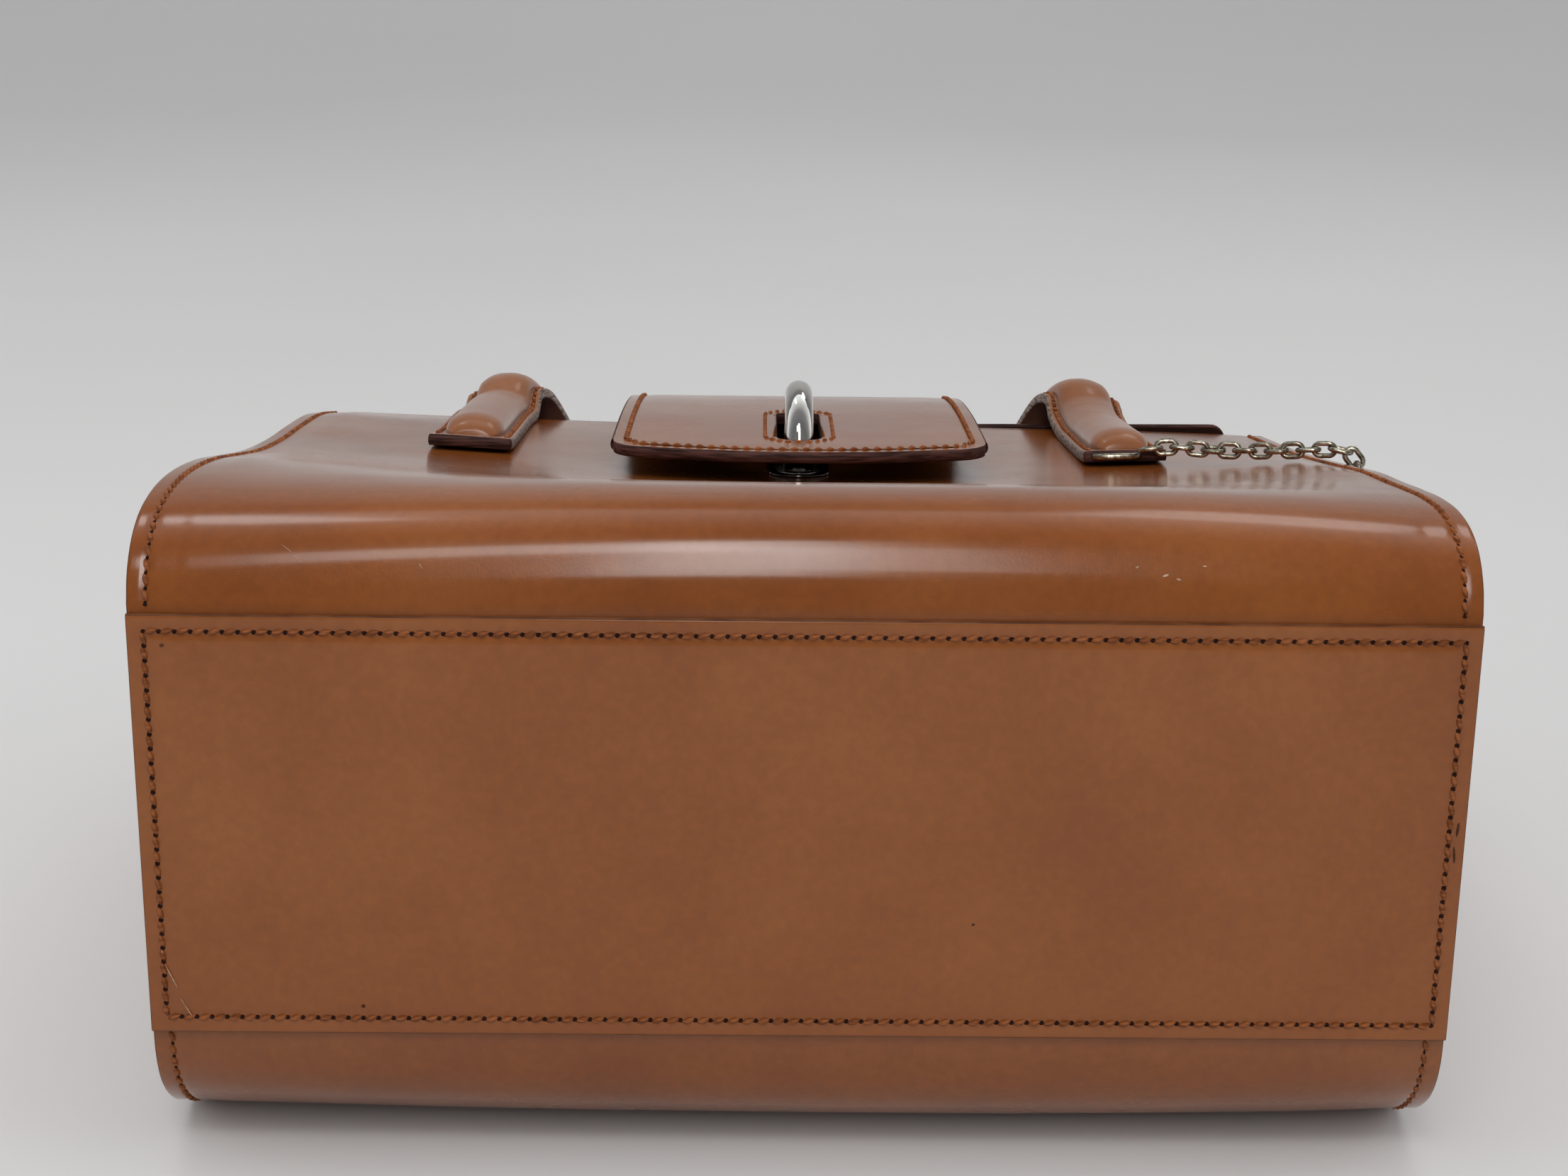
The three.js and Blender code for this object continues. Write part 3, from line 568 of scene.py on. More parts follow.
def side_relief(inset):
    """Height of the leather near a stitched side edge: pressed along the stitches, full inside."""
    pressed = 0.32 * np.exp(-((inset - STITCH_INSET) / 0.9) ** 2)
    full = 0.3 * np.clip((inset - STITCH_INSET - 1) / 8, 0, 1)
    return full - pressed


def wrap_columns():
    edge = np.arange(0, 15, 0.7)
    middle = np.linspace(15, WIDTH / 2, 34)
    half = np.concatenate([edge, middle])
    return np.concatenate([-WIDTH / 2 + half, (WIDTH / 2 - half[:-1])[::-1]])


def body_wrap():
    columns = wrap_columns()
    outer = np.stack([section_at(x) for x in columns], axis=1)
    normals = grid_normals(outer)
    if normals[0, len(columns) // 2, 2] < 0:
        normals = -normals
    x = outer[..., 0]
    along = np.stack([travelled(outer[:, j]) for j in range(len(columns))], axis=1)
    inset = WIDTH / 2 - np.abs(x)
    fade = np.clip(inset / 20, 0, 1)
    level = np.clip((BASE_FACE + BACK_TURN - outer[..., 1]) / 10, 0, 1)
    on_back = outer[..., 2] < DEPTH / 2
    relief = side_relief(inset) + ripple(x, along) * fade
    relief = np.where(on_back, relief * level, relief)
    face = outer + normals * relief[..., None]
    inner = outer - normals * WALL
    points, faces, slots = sheet(face, inner, 0.5)
    add_piece("body_wrap_leather", points, faces, [LEATHER, SEAM_EDGE, INSIDE], slots, ["body_wrap"])


def base_panel():
    edge = np.array([0, 0.5, 1.1, 1.9, 2.7, 3.5, 4.2, 5, 6, 8, 11, 15])
    x = np.concatenate([edge, np.linspace(20, WIDTH - 20, 60), WIDTH - edge[::-1]]) - WIDTH / 2
    length = FRONT_SEAM - BACK_SEAM
    z = np.concatenate([edge, np.linspace(20, length - 20, 24), length - edge[::-1]]) + BACK_SEAM
    grid_x, grid_z = np.meshgrid(x, z)
    from_seam = np.minimum(grid_z - BACK_SEAM, FRONT_SEAM - grid_z)
    from_edge = np.minimum(WIDTH / 2 - np.abs(grid_x), from_seam)
    pressed = 0.28 * np.exp(-((from_edge - STITCH_INSET) / 0.9) ** 2)
    full = 0.25 * np.clip((from_edge - STITCH_INSET - 1) / 10, 0, 1)
    wave = 0.6 * ripple(grid_x, grid_z) * np.clip(from_edge / 20, 0, 1)
    face = np.stack([grid_x, pressed - full - wave, grid_z], axis=-1)
    back = np.stack([grid_x, np.full_like(grid_x, BASE_FACE - 0.05), grid_z], axis=-1)
    points, faces, slots = sheet(face, back, 0.35)
    materials = [BASE_LEATHER, SEAM_EDGE, INSIDE]
    add_piece("base_panel_leather", points, faces, materials, slots, ["base_panel"])


def inset_section(x, distance):
    points = section_at(x)
    along = unit(np.gradient(points, axis=0))
    inward = np.stack([np.zeros(len(points)), -along[:, 2], along[:, 1]], axis=1)
    return points + inward * distance


def gusset(side, name):
    """Recessed side wall with its soft fold, and the lip under the wrap's edge."""
    top = HEIGHT - GUSSET_DROP
    outline = inset_section(side * WIDTH / 2, WALL + GUSSET_GAP)
    outline = outline[outline[:, 1] <= top + 6]
    outline[:, 1] = np.minimum(outline[:, 1], top)
    edge, wall_face = WIDTH / 2 - 0.5, WIDTH / 2 - GUSSET_RECESS
    lip = np.stack([outline] * 5)
    lip[..., 0] = side * np.linspace(edge, wall_face - GUSSET_WALL, 5)[:, None]
    along = unit(np.gradient(outline, axis=0))
    inward = np.stack([np.zeros(len(outline)), -along[:, 2], along[:, 1]], axis=1)
    lip_points, lip_faces, lip_slots = sheet(lip, lip + inward * GUSSET_WALL, 0.3)
    wall = gusset_wall(outline, side, top, wall_face)
    back = wall - np.array([side * GUSSET_WALL, 0, 0])
    wall_points, wall_faces, wall_slots = sheet(wall, back, 0.1)
    points, faces = join([(lip_points, lip_faces), (wall_points, wall_faces)])
    slots = lip_slots + wall_slots
    add_piece(f"{name}_leather", points, faces, [LEATHER, SEAM_EDGE, INSIDE], slots, [name])


def gusset_wall(outline, side, top, wall_face):
    """Grid of the side wall's outer face, from the base up and from front to back."""
    low = outline[:, 1].min()
    base = np.flatnonzero(outline[:, 1] < low + 0.05)
    front, back = outline[:base[0] + 1][::-1], outline[base[-1]:]
    edge = np.array([0, 0.4, 1, 1.8, 3, 4.5, 6.5, 9, 12, 16, 21, 27, 34])
    levels = low + np.concatenate([edge, np.linspace(42, top - low, 26)])
    shares = np.concatenate([edge[:8] / 160, np.linspace(0.09, 0.91, 40), 1 - edge[7::-1] / 160])
    rows = []
    for up in levels:
        near = np.interp(up, front[:, 1], front[:, 2]) - GUSSET_WALL / 2
        far = np.interp(up, back[:, 1], back[:, 2]) + GUSSET_WALL / 2
        deep = near + (far - near) * shares
        fold = np.exp(-((deep - (near + far) / 2) / FOLD_SPREAD) ** 2)
        fold *= FOLD_DEPTH * (up / HEIGHT) ** 1.5
        from_edge = np.minimum(np.minimum(near - deep, deep - far), up - low)
        turn = 2 * (1 - np.clip(from_edge / 4, 0, 1)) ** 2
        rows.append(np.stack([side * (wall_face - fold + turn), np.full_like(deep, up), deep], axis=1))
    return np.stack(rows)


body_wrap()
base_panel()
gusset(-1, "gusset_left")
gusset(1, "gusset_right")


# Flap

def cover_line():
    seat = (WALL + 0.3) / math.cos(LEAN) + COVER_WALL / 2
    seated = [(0, up, back_depth(up) + seat) for up in (HEIGHT - COVER_REACH, HEIGHT - COVER_REACH / 2)]
    rows = [(0, HEIGHT + past * COVER_RISE, deep * COVER_DEPTH) for past, deep in COVER_ROWS]
    return smooth_curve(seated + rows, 8)


def tab_line():
    rows = [(0, HEIGHT - down * TAB_LENGTH, deep * DEPTH) for down, deep in TAB_ROWS]
    return smooth_curve(rows, 10)


def cover():
    line = cover_line()
    half = COVER_WIDTH / 2
    edge = np.array([0, 0.4, 1, 1.8, 2.8, 4, 6, 8, 12])
    x = np.concatenate([edge, np.linspace(18, COVER_WIDTH - 18, 40), COVER_WIDTH - edge[::-1]]) - half
    last_steps = 1 - 0.07 * (1 - np.linspace(0, 1, 9)[1:]) ** 1.5
    shares = np.concatenate([np.linspace(0, 0.93, 60), last_steps])
    distances = travelled(line)
    columns = []
    for place in x:
        reach = COVER_DEPTH + COVER_SKEW * place / COVER_WIDTH
        corner = max(0, abs(place) - (half - COVER_CORNER))
        reach -= COVER_CORNER - math.sqrt(max(0, COVER_CORNER ** 2 - corner ** 2))
        end = np.interp(reach, line[-24:, 2], distances[-24:])
        column = at_distances(line, shares * end)
        column[:, 0] = place
        columns.append(column)
    middle = np.stack(columns, axis=1)
    normals = grid_normals(middle)
    if normals[len(shares) // 2, len(x) // 2, 1] < 0:
        normals = -normals
    top = middle + normals * COVER_WALL / 2
    bottom = middle - normals * COVER_WALL / 2
    points, faces, slots = sheet(top, bottom, 0.7)
    # The cover's back face carries the underside's painted shade.
    add_piece("flap_cover", points, faces, [LEATHER, PAINT, PAINTED_SHADE_UNDERSIDE], slots, ["flap"])


def tab_reach(x):
    """Height of the tab's free end at x."""
    half = TAB_WIDTH / 2
    chord = half - TAB_CORNER
    radius = (chord ** 2 + TAB_BOW ** 2) / (2 * TAB_BOW)
    inside = min(abs(x), chord)
    low = TAB_END + radius - math.sqrt(radius ** 2 - inside ** 2)
    beyond = max(0, abs(x) - chord)
    share = min(1, beyond / TAB_CORNER)
    return low + TAB_CORNER * (1 - math.sqrt(max(0, 1 - share ** 2)))


def tab_surface(x, up):
    """Point on the tab's middle surface at a place on its front part."""
    line = tab_line()
    front = line[np.argmax(line[:, 2] > 0.87 * DEPTH):]
    return np.array([x, up, np.interp(up, front[::-1, 1], front[::-1, 2])])


def tab():
    line = tab_line()
    distances = travelled(line)
    half = TAB_WIDTH / 2
    edge = np.array([0, 0.3, 0.7, 1.2, 1.9, 2.7, 3.5, 4.3, 5.5, 7, 9, 11])
    slot_half = SLOT_WIDTH / 2
    middle = np.concatenate([
        np.linspace(-half + 13, -slot_half - 2, 14), np.linspace(-slot_half, slot_half, 13),
        np.linspace(slot_half + 2, half - 13, 14)])
    x = np.concatenate([-half + edge, middle, half - edge[::-1]])
    columns = []
    front = np.argmax(line[:, 2] > 0.87 * DEPTH)
    low_distance = lambda up: np.interp(-up, -line[front:, 1], distances[front:])
    fixed = np.concatenate([
        np.linspace(0, low_distance(SLOT_START + SLOT_LENGTH) - 3, 44),
        np.linspace(low_distance(SLOT_START + SLOT_LENGTH), low_distance(SLOT_START), 40)])
    tail = 1 - (1 - np.linspace(0, 1, 18)[1:]) ** 1.6
    for place in x:
        end = low_distance(tab_reach(place))
        column = at_distances(line, np.concatenate([fixed, fixed[-1] + (end - fixed[-1]) * tail]))
        column[:, 0] = place
        columns.append(column)
    grid = np.stack(columns, axis=1)
    normals = grid_normals(grid)
    if normals[-20, len(x) // 2, 2] < 0:
        normals = -normals
    inset = half - np.abs(grid[..., 0])
    to_end = np.array([[distances[-1]] * len(x)] * len(grid))
    for j, place in enumerate(x):
        to_end[:, j] = low_distance(tab_reach(place)) - travelled(grid[:, j])
    from_edge = np.minimum(inset, to_end)
    pressed = 0.22 * np.exp(-((from_edge - STITCH_INSET + 0.4) / 0.8) ** 2)
    full = 0.15 * np.clip((from_edge - STITCH_INSET) / 6, 0, 1)
    top = grid + normals * (TAB_WALL / 2 + full - pressed)[..., None]
    bottom = grid - normals * TAB_WALL / 2
    points, faces, slots = sheet(top, bottom, 0.9, rim_steps=8)
    # The tab's back face carries the underside's painted shade.
    piece = add_piece("flap_tab", points, faces, [LEATHER, PAINT, PAINTED_SHADE_UNDERSIDE], slots, ["flap"])
    cut_slot(piece)


def slot_outline(grow=0.0, per_corner=5):
    """Loop of the slot seen from the front, its corners cut and softened."""
    half, low, high = SLOT_WIDTH / 2 + grow, SLOT_START - grow, SLOT_START + SLOT_LENGTH + grow
    corner = SLOT_CORNER + grow * 0.5
    loop = []
    for sx, sy, start in ((1, 1, 0), (-1, 1, 90), (-1, -1, 180), (1, -1, 270)):
        centre = (sx * (half - corner), (high if sy > 0 else low) - sy * corner)
        for k in range(per_corner + 1):
            angle = math.radians(start + 90 * k / per_corner)
            loop.append((centre[0] + corner * math.cos(angle), centre[1] + corner * math.sin(angle)))
    return np.array(loop)


def cut_slot(piece):
    """The slot is cut through the tab and its edge is bound with paint."""
    loop = slot_outline()
    rings = [[(x, up, deep) for x, up in loop] for deep in (0.8 * DEPTH, 1.05 * DEPTH)]
    points, faces = loft(rings)
    mesh = bpy.data.meshes.new("slot_cutter")
    mesh.from_pydata(to_world(points).tolist(), [], faces)
    cutter = add_object("slot_cutter", mesh, [PAINT])
    form = bmesh.new()
    form.from_mesh(mesh)
    bmesh.ops.recalc_face_normals(form, faces=form.faces)
    form.to_mesh(mesh)
    form.free()
    cut = piece.modifiers.new("slot", "BOOLEAN")
    cut.operation = "DIFFERENCE"
    cut.solver = "EXACT"
    cut.material_mode = "TRANSFER"
    cut.object = cutter
    apply_modifiers(piece)
    bpy.data.objects.remove(cutter, do_unlink=True)
    rim = []
    loop = slot_outline(grow=0.1)
    for k, (x, up) in enumerate(loop):
        before, after = loop[k - 1], loop[(k + 1) % len(loop)]
        outward = unit([after[1] - before[1], before[0] - after[0], 0])
        centre = tab_surface(x, up)
        ring = []
        for turn in np.linspace(0, 2 * math.pi, 17)[:-1]:
            rise = math.copysign(abs(math.sin(turn)) ** 0.5, math.sin(turn)) * (TAB_WALL / 2 + RIM_PROUD)
            ring.append(centre + outward * RIM_WIDTH / 2 * math.cos(turn) + np.array([0, 0, rise]))
        rim.append(ring)
    points, faces = loft(rim, closed=True)
    add_piece("flap_slot_edge", points, faces, [PAINT], None, ["flap"])


def apply_modifiers(piece):
    graph = bpy.context.evaluated_depsgraph_get()
    finished = bpy.data.meshes.new_from_object(piece.evaluated_get(graph), depsgraph=graph)
    piece.modifiers.clear()
    piece.data = finished


cover()
tab()


# Closure

def plate_top(up):
    return front_depth(0, up) + PLATE_GAP + PLATE_WALL


def closure_plate():
    """Small stadium-shaped plate with a rounded rim, following the front panel."""
    middle = STAPLE_START + STAPLE_SPAN / 2
    half = PLATE_WIDTH / 2
    straight = PLATE_LENGTH / 2 - half
    rings = []
    profile = [(1.0, 0.0), (1.0, 0.55), (0.97, 0.82), (0.9, 0.97), (0.8, 1.0)]
    for share, rise in [(0.8, 0.0)] + profile:
        ring = []
        for k in range(64):
            angle = 2 * math.pi * k / 64
            x = half * share * math.cos(angle)
            up = middle + half * share * math.sin(angle) + math.copysign(straight, math.sin(angle))
            ring.append((x, up, front_depth(0, up) + PLATE_GAP + PLATE_WALL * rise))
        rings.append(ring)
    points, faces = loft(rings)
    # The plate gets the dark metal of painted shade.
    add_piece("staple_plate", points, faces, [PAINTED_SHADE_PLATE_METAL], None, ["closure_plate"])


def closure_staple():
    half = STAPLE_SPAN / 2
    middle = STAPLE_START + half
    crown = STAPLE_TOP - STAPLE_BAR / 2
    bow = crown - plate_top(STAPLE_START) - STAPLE_BAR / 2
    path = [(0, STAPLE_START, plate_top(STAPLE_START) - 0.2)]
    for turn in np.linspace(0, math.pi, 49):
        path.append((0, middle - half * math.cos(turn), crown - bow * (1 - math.sin(turn))))
    path.append((0, STAPLE_START + STAPLE_SPAN, plate_top(STAPLE_START + STAPLE_SPAN) - 0.2))
    path = np.array(path)
    turns = np.concatenate([[0], np.linspace(0, math.pi, 49), [math.pi]])
    rings = []
    for centre, turn in zip(path, turns):
        over = np.array([0, -math.cos(turn), math.sin(turn)])
        rings.append([centre + STAPLE_BAR / 2 * (math.cos(a) * np.array([1, 0, 0]) + math.sin(a) * over)
                      for a in np.linspace(0, 2 * math.pi, 41)[:-1]])
    points, faces = loft(rings)
    add_piece("staple_bow", points, faces, [CHROME], None, ["closure_staple"])


closure_plate()
closure_staple()


# Handle

def free_station(row, side):
    out, up, deep, tip = row
    tip = math.radians(tip)
    return ((side * out * STRAP_OUT, up * HEIGHT, deep * DEPTH), (0, math.sin(tip), math.cos(tip)))


def handle_stations(steps=10):
    """Places, faces, directions and crosswise directions along the handle, from left to right."""
    def leg(side):
        rows = []
        for out, up, lift in HANDLE_LYING:
            x, height = side * out * STRAP_OUT, up * HEIGHT
            face = front_normal(x, height)
            place = np.array([x, height, front_depth(x, height)]) + face * (lift + 0.5) * STRAP_WALL
            rows.append((place, face))
        return rows + [free_station(row, side) for row in HANDLE_FREE]
    rows = leg(-1) + [free_station(HANDLE_MIDDLE, 1)] + leg(1)[::-1]
    places = smooth_curve([place for place, _ in rows], steps)
    faces = smooth_curve([face for _, face in rows], steps)
    along = unit(np.gradient(places, axis=0))
    faces = unit(faces - along * np.sum(faces * along, axis=1, keepdims=True))
    return places, faces, along, unit(np.cross(along, faces))


def handle_strap():
    places, faces, _, across = handle_stations()
    half = STRAP_WIDTH / 2
    shares = np.concatenate([[0, 0.02, 0.05, 0.09, 0.14, 0.2], np.linspace(0.28, 0.72, 7),
                             1 - np.array([0.2, 0.14, 0.09, 0.05, 0.02, 0])])
    grid = places[:, None] + across[:, None] * ((shares - 0.5) * STRAP_WIDTH)[None, :, None]
    inset = np.minimum(shares, 1 - shares) * STRAP_WIDTH
    swell = 0.12 * np.clip(inset / 3, 0, 1)
    top = grid + faces[:, None] * (STRAP_WALL / 2 + swell - 0.12)[None, :, None]
    bottom = grid - faces[:, None] * STRAP_WALL / 2
    points, quads, slots = sheet(top, bottom, 0.55, rim_steps=7)
    slots = np.array(slots)
    rim = np.flatnonzero(slots == 1)
    for index in rim:
        centre = points[list(quads[index])].mean(axis=0)
        if centre[1] > HANDLE_LYING[0][1] * HEIGHT + 1.2:
            slots[index] = 3
    # The strap's face carries the handle leather's painted sheen.
    materials = [HANDLE_LEATHER_PAINTED_SHEEN, PAINT, INSIDE, WORN_EDGE]
    add_piece("handle_strap_leather", points, quads, materials, slots, ["handle_strap"])


def roll_rings(sides=18):
    places, faces, _, across = handle_stations()
    distances = travelled(places)
    total = distances[-1]
    ends = ROLL_SETBACK + ROLL_DOME * (1 - np.cos(np.linspace(0.05, math.pi / 2, 12)))
    middle = np.arange(ends[-1] + 2, total - ends[-1] - 1, 2.0)
    marks = np.concatenate([ends, middle, (total - ends)[::-1]])
    base = STRAP_WALL / 2 - 0.1
    rings = []
    for mark in marks:
        place = at_distances(places, [mark])[0]
        face = unit([np.interp(mark, distances, faces[:, k]) for k in range(3)])
        side = unit([np.interp(mark, distances, across[:, k]) for k in range(3)])
        from_end = min(mark, total - mark) - ROLL_SETBACK
        swell = math.sqrt(1 - (1 - min(1, from_end / ROLL_DOME)) ** 2)
        half = ROLL_WIDTH / 2 * (0.55 + 0.45 * swell)
        crease = handle_crease(min(mark, total - mark), place[0])
        ring = []
        for k in range(sides + 1):
            angle = math.pi * k / sides
            rise = math.sin(angle) ** 0.8 * (ROLL_RISE * swell + 0.3) * (1 - crease)
            ring.append(place + side * math.cos(angle) * half + face * (base + rise))
        rings.append(ring)
    return rings


def handle_crease(distance, x):
    """Fine creases across the roll where it bends over the bag's top edge."""
    marks = (70, 73.5, 77) if x < 0 else (58, 62, 66, 70, 74)
    return sum(0.035 * math.exp(-((distance - mark) / 0.9) ** 2) for mark in marks)


def handle_roll():
    points, faces = loft(roll_rings())
    # The roll carries the handle leather's painted sheen.
    piece = add_piece("handle_roll_leather", points, faces, [HANDLE_LEATHER_PAINTED_SHEEN], None, ["handle_roll"])


handle_strap()
handle_roll()


# Chain

def oval(length, width, wire, segments, sides):
    rings = []
    radius = (width - wire) / 2
    for turn in np.linspace(0, 2 * math.pi, segments + 1)[:-1]:
        outward = np.array([math.cos(turn), math.sin(turn), 0])
        centre = outward * radius + np.array([math.copysign((length - width) / 2, outward[0]), 0, 0])
        rings.append([centre + wire / 2 * (math.cos(a) * outward + math.sin(a) * np.array([0, 0, 1]))
                      for a in np.linspace(0, 2 * math.pi, sides + 1)[:-1]])
    return loft(rings, closed=True)


def node_axes(node):
    """Middle of a CAD piece and its long, middle and short directions, in the bag frame."""
    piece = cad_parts[node]
    points = np.array([piece.matrix_world @ corner.co for corner in piece.data.vertices]) / MM
    points = (points + SHIFT) @ TURN
    middle = points.mean(axis=0)
    _, _, axes = np.linalg.svd(points - middle)
    reach = (points - middle) @ axes.T
    middle = middle + axes.T @ ((reach.max(axis=0) + reach.min(axis=0)) / 2)
    return middle, axes


def round_link(node, length, width, wire, swell):
    """A smooth round link in the place of the faceted one, its wire a little thicker."""
    points, faces = oval(length + swell, width + swell, wire + swell, 32, 10)
    middle, axes = node_axes(node)
    add_piece(f"{node}_wire", points @ axes + middle, faces, [SILVER], None, [node])


for number in range(1, LINK_COUNT + 1):
    round_link(f"chain_link_{number:02d}", LINK_LENGTH, LINK_WIDTH, LINK_WIRE, LINK_SWELL)
round_link("chain_ring", RING_WIDTH, RING_DEPTH, RING_WIRE, 0)


# Stitches

def stitch_row(points, normals, pitch, length_share=0.8, radius=THREAD, slant=0.26):
    """Thread stitches along a path, each arched out of its two holes, and the holes between as low domes
    for painted shade.
    """
    lengths = travelled(points)
    count = max(1, round(lengths[-1] / pitch))
    pitch = lengths[-1] / count
    thread = []
    holes = []
    for k in range(count):
        mark = (k + 0.5) * pitch
        ends = at_distances(points, [mark - pitch * length_share / 2, mark + pitch * length_share / 2])
        normal = unit([np.interp(mark, lengths, normals[:, c]) for c in range(3)])
        along = unit(ends[1] - ends[0])
        side = unit(np.cross(normal, along))
        ends = ends + side * np.array([[-slant], [slant]]) * pitch / 2
        thread.append(stitch(ends[0], ends[1], normal, radius))
        hole = at_distances(points, [mark + pitch / 2])[0]
        holes.append(pit(hole, along, side, normal, pitch * 0.18, radius * 1.1))
    return thread, holes


def stitch(start, end, normal, radius, rings=6, sides=6):
    along = unit(end - start)
    side = np.cross(normal, along)
    body = []
    for t in np.linspace(0, 1, rings):
        arch = math.sin(math.pi * t)
        centre = start + (end - start) * t + normal * (radius * (0.75 * arch - 0.35))
        size = radius * (0.5 + 0.5 * arch)
        body.append([centre + size * (math.cos(a) * side + math.sin(a) * normal)
                     for a in np.linspace(0, 2 * math.pi, sides + 1)[:-1]])
    return loft(body)


def pit(centre, along, side, normal, length, width, sides=8):
    """A small low dome: the dark spot of painted shade at a needle hole, or a wear mark."""
    rings = []
    for share, rise in ((1.0, -0.12), (0.95, 0.02), (0.55, 0.045)):
        ring = []
        for turn in np.linspace(0, 2 * math.pi, sides + 1)[:-1]:
            reach = along * length * math.cos(turn) + side * width * math.sin(turn)
            ring.append(centre + normal * rise + share * reach)
        rings.append(ring)
    return loft(rings)


def add_stitches(name, rows):
    """One piece of thread and the painted shade of the needle holes, from rows of (points, normals,
    pitch).
    """
    thread = []
    holes = []
    for points, normals, pitch in rows:
        row_thread, row_holes = stitch_row(np.asarray(points, float), np.asarray(normals, float), pitch)
        thread += row_thread
        holes += row_holes
    points, faces = join(thread + holes)
    thread_faces = sum(len(part_faces) for _, part_faces in thread)
    slots = [0] * thread_faces + [1] * (len(faces) - thread_faces)
    # Slot 1 is the needle holes' painted shade.
    add_piece(name, points, faces, [THREAD_TONE, HOLE_PAINTED_SHADE], slots)


def base_stitches():
    inset = STITCH_INSET - 0.4
    left, right = -WIDTH / 2 + inset, WIDTH / 2 - inset
    near, far = BACK_SEAM + inset, FRONT_SEAM - inset
    down = np.array([0, -1, 0])
    rows = []
    for start, end in (((left, far), (right, far)), ((left, near), (right, near)),
                       ((left, near), (left, far)), ((right, near), (right, far))):
        line = np.linspace(start, end, 60)
        points = np.stack([line[:, 0], np.full(60, 0.16), line[:, 1]], axis=1)
        rows.append((points, np.tile(down, (60, 1)), STITCH_PITCH))
    add_stitches("base_panel_stitches", rows)


def side_stitches():
    rows = []
    for side in (-1, 1):
        x = side * (WIDTH / 2 - STITCH_INSET)
        points = section_at(x)
        along = unit(np.gradient(points, axis=0))
        normals = np.stack([np.zeros(len(points)), along[:, 2], -along[:, 1]], axis=1)
        if normals[0, 2] < 0:
            normals = -normals
        points = points + normals * -0.3
        base = (points[:, 1] < BASE_FACE + 1) & (points[:, 2] < FRONT_SEAM) & (points[:, 2] > BACK_SEAM)
        first, last = np.flatnonzero(base)[[0, -1]]
        front = points[:first]
        rows.append((front, normals[:first], STITCH_PITCH))
        rows.append((points[last + 1:-2], normals[last + 1:-2], STITCH_PITCH))
    add_stitches("body_side_stitches", rows)


def tab_stitches():
    inset = TAB_STITCH_INSET
    half = TAB_WIDTH / 2 - inset
    line = tab_line()
    front = line[np.argmax(line[:, 2] > 0.87 * DEPTH):]
    outline = [(-half, up) for up in np.linspace(HEIGHT * 0.985, tab_reach(half) + 9, 30)]
    for x in np.linspace(-half, half, 80):
        outline.append((x, tab_reach(x * TAB_WIDTH / (2 * half)) + inset))
    outline += [(half, up) for up in np.linspace(tab_reach(half) + 9, HEIGHT * 0.985, 30)]
    add_stitches("flap_tab_stitches", [surface_row(outline, TAB_STITCH_PITCH)])
    loop = slot_outline(grow=SLOT_STITCH_INSET, per_corner=1)
    loop = np.vstack([loop, loop[:1]])
    add_stitches("flap_slot_stitches", [surface_row(loop, SLOT_STITCH_PITCH)])


def surface_row(outline, pitch):
    """A stitch row on the tab's top face along an outline of (x, up)."""
    points = []
    normals = []
    for x, up in outline:
        lower, upper = tab_surface(x, up - 1), tab_surface(x, up + 1)
        normal = unit([0, lower[2] - upper[2], 2])
        points.append(tab_surface(x, up) + normal * (TAB_WALL / 2 - 0.05))
        normals.append(normal)
    return points, normals, pitch


def handle_stitches():
    places, faces, _, across = handle_stations()
    rows = []
    for side in (-1, 1):
        shift = side * (ROLL_WIDTH / 2 + HANDLE_STITCH_INSET)
        points = places + across * shift + faces * (STRAP_WALL / 2 - 0.02)
        distances = travelled(points)
        keep = (distances > 3.5) & (distances < distances[-1] - 3.5)
        rows.append((points[keep], faces[keep], HANDLE_STITCH_PITCH))
    add_stitches("handle_stitches", rows)


def add_wear():
    """Small scuffs, scratches and dots, each a low film on the leather."""
    marks = {"pale": [], "dark": []}
    for x, z, length, width, turn, tone in BASE_WEAR:
        centre = np.array([x, -0.25 - 0.6 * ripple(x, z), z])
        along = np.array([math.cos(math.radians(turn)), 0, math.sin(math.radians(turn))])
        down = np.array([0, -1, 0])
        marks[tone].append(pit(centre, along, np.cross(down, along), down, length, width))
    for x, up, length, width, turn, tone in FRONT_WEAR:
        normal = front_normal(x, up)
        centre = np.array([x, up, front_depth(x, up)]) + normal * 0.3
        across = unit(np.cross([0, 1, 0], normal))
        upward = np.cross(normal, across)
        along = across * math.cos(math.radians(turn)) + upward * math.sin(math.radians(turn))
        marks[tone].append(pit(centre, along, np.cross(normal, along), normal, length, width))
    for tone, material in (("pale", PALE_WEAR), ("dark", DARK_WEAR)):
        points, faces = join(marks[tone])
        add_piece(f"{tone}_wear", points, faces, [material])


base_stitches()
side_stitches()
tab_stitches()
handle_stitches()
add_wear()


# Floor and backdrop

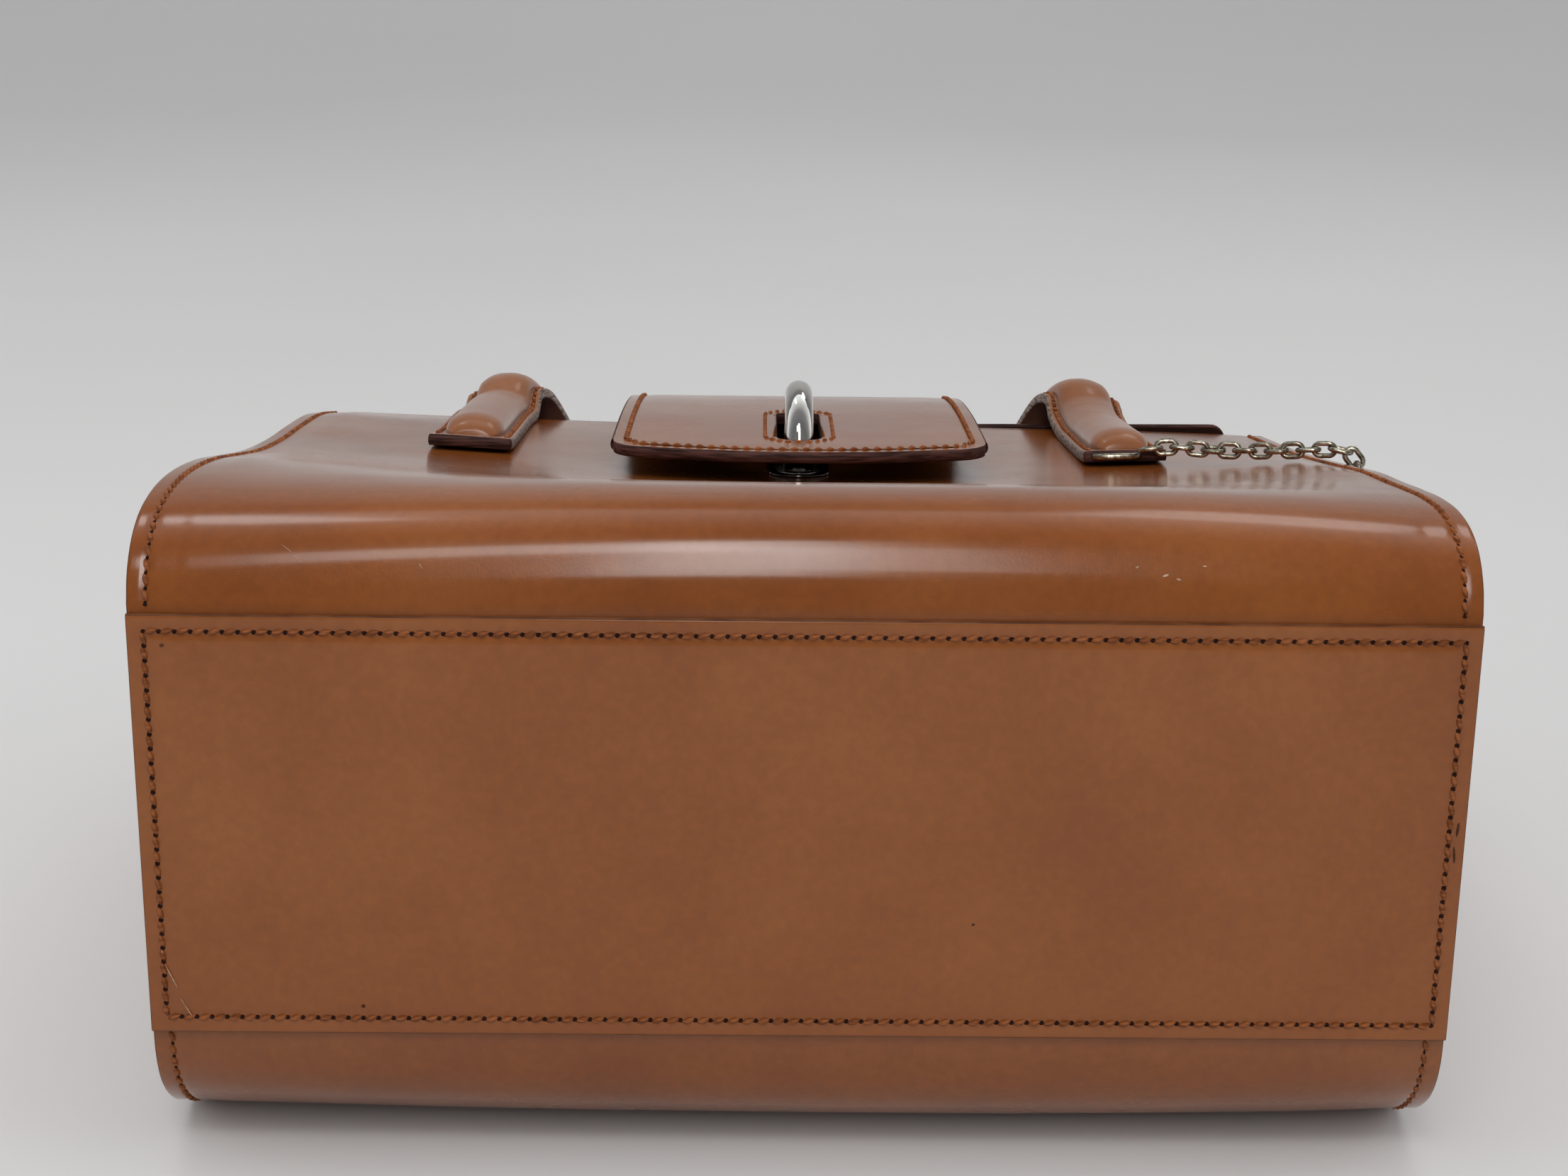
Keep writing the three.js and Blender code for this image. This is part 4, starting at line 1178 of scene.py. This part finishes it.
def backdrop():
    """A pale seamless sheet: floor, a wide bend and a wall far behind."""
    near, far, height, bend, half = -3.0, 3.2, 4.5, 1.6, 5.0
    profile = [(near, 0.0), (0.0, 0.0), (far - bend, 0.0)]
    for k in range(1, 17):
        angle = math.pi / 2 * k / 16
        profile.append((far - bend + bend * math.sin(angle), bend - bend * math.cos(angle)))
    profile.append((far, height))
    points = [(x, y, z) for y, z in profile for x in (-half, half)]
    faces = [(2 * k, 2 * k + 1, 2 * k + 3, 2 * k + 2) for k in range(len(profile) - 1)]
    mesh = bpy.data.meshes.new("backdrop")
    mesh.from_pydata(points, [], faces)
    mesh.polygons.foreach_set("use_smooth", [True] * len(faces))
    material, nodes, links, shader = new_material("backdrop_paper")
    tone = noise_node(nodes, links, object_place(nodes), 1.2, detail=2)
    stops = [(0.3, (0.66, 0.655, 0.65, 1)), (0.7, (0.7, 0.695, 0.69, 1))]
    links.new(ramp_node(nodes, links, tone, stops), shader.inputs["Base Color"])
    set_inputs(shader, Roughness=0.9)
    shader.inputs["Specular IOR Level"].default_value = 0.2
    add_object("backdrop", mesh, [material])


# Light and camera

def area_light(name, place, target, size, power, reflected=True):
    light = bpy.data.lights.new(name, "AREA")
    light.shape = "RECTANGLE"
    light.size, light.size_y = size
    light.energy = power
    lamp = bpy.data.objects.new(name, light)
    lamp.location = place
    lamp.visible_glossy = reflected
    aim = Vector(target) - Vector(place)
    lamp.rotation_euler = aim.to_track_quat("-Z", "Y").to_euler()
    bpy.context.scene.collection.objects.link(lamp)
    return lamp


# Share of the way from the front of the room to its back, and the brightness there
ROOM_TONES = [
    (0.0, (0.13, 0.13, 0.13, 1)),
    (0.14, (0.15, 0.15, 0.15, 1)),
    (0.3, (0.13, 0.13, 0.14, 1)),
    (0.5, (0.22, 0.22, 0.23, 1)),
    (0.66, (0.62, 0.63, 0.64, 1)),
    (0.82, (1.1, 1.12, 1.14, 1)),
]


def lights():
    world = bpy.data.worlds.new("studio")
    world.use_nodes = True
    nodes, links = world.node_tree.nodes, world.node_tree.links
    direction = nodes.new("ShaderNodeSeparateXYZ")
    links.new(nodes.new("ShaderNodeTexCoord").outputs["Generated"], direction.inputs[0])
    from_front = range_node(nodes, links, direction.outputs["Y"], 0, 1, start=-1, end=1)
    room = ramp_node(nodes, links, from_front, ROOM_TONES)
    links.new(room, nodes["Background"].inputs["Color"])
    nodes["Background"].inputs["Strength"].default_value = 1
    bpy.context.scene.world = world
    bpy.context.scene.view_settings.view_transform = "Standard"
    area_light("front_main", (-0.055, -1.39, 1.34), (-0.02, -0.15, 0.1), (0.22, 1.5), 8)
    left = area_light("front_left", (-0.31, -1.04, 1.6), (-0.07, -0.15, 0.1), (0.5, 0.36), 2.6)
    left.rotation_euler.rotate_axis("Z", math.radians(14))
    area_light("front_right", (0.12, -1.39, 1.34), (0.03, -0.15, 0.1), (0.26, 0.9), 2.2)
    area_light("left_patch", (-0.64, 0.78, 1.86), (-0.14, -0.1, 0.14), (0.22, 0.4), 1.1)
    area_light("right_patch", (0.64, 1.14, 1.62), (0.14, -0.1, 0.14), (0.5, 0.5), 1.6)
    area_light("ceiling", (0, -0.3, 2.4), (0, 0.1, 0), (3.2, 2.4), 20, reflected=False)
    area_light("wall_wash", (0, 1.5, 2.6), (0, 2.6, 0.3), (3.4, 0.8), 11, reflected=False)
    area_light("front_fill", (0, -2.6, 0.7), (0, -0.1, 0.03), (2.4, 0.9), 1, reflected=False)
    area_light("left_side", (-2.3, -0.3, 1.3), (0, 0.1, 0), (2.0, 1.8), 12, reflected=False)
    area_light("right_side", (2.3, -0.3, 1.3), (0, 0.1, 0), (2.0, 1.8), 14, reflected=False)


def camera():
    """The photograph's view, from the fit to the base panel's corners."""
    lens = bpy.data.cameras.new("camera")
    lens.sensor_width = 36
    lens.lens = 54.0
    lens.clip_start = 0.01
    lens.clip_end = 50
    viewer = bpy.data.objects.new("camera", lens)
    right = Vector((0.9999, -0.00675, 0.01225)).normalized()
    forward = Vector((0.01043, 0.94334, -0.33166)).normalized()
    up = right.cross(forward).normalized()
    turn = Matrix((right, up, -forward)).transposed()
    viewer.matrix_world = Matrix.Translation((-0.01089, -0.64198, 0.32576)) @ turn.to_4x4()
    bpy.context.scene.collection.objects.link(viewer)
    bpy.context.scene.camera = viewer


backdrop()
lights()
camera()
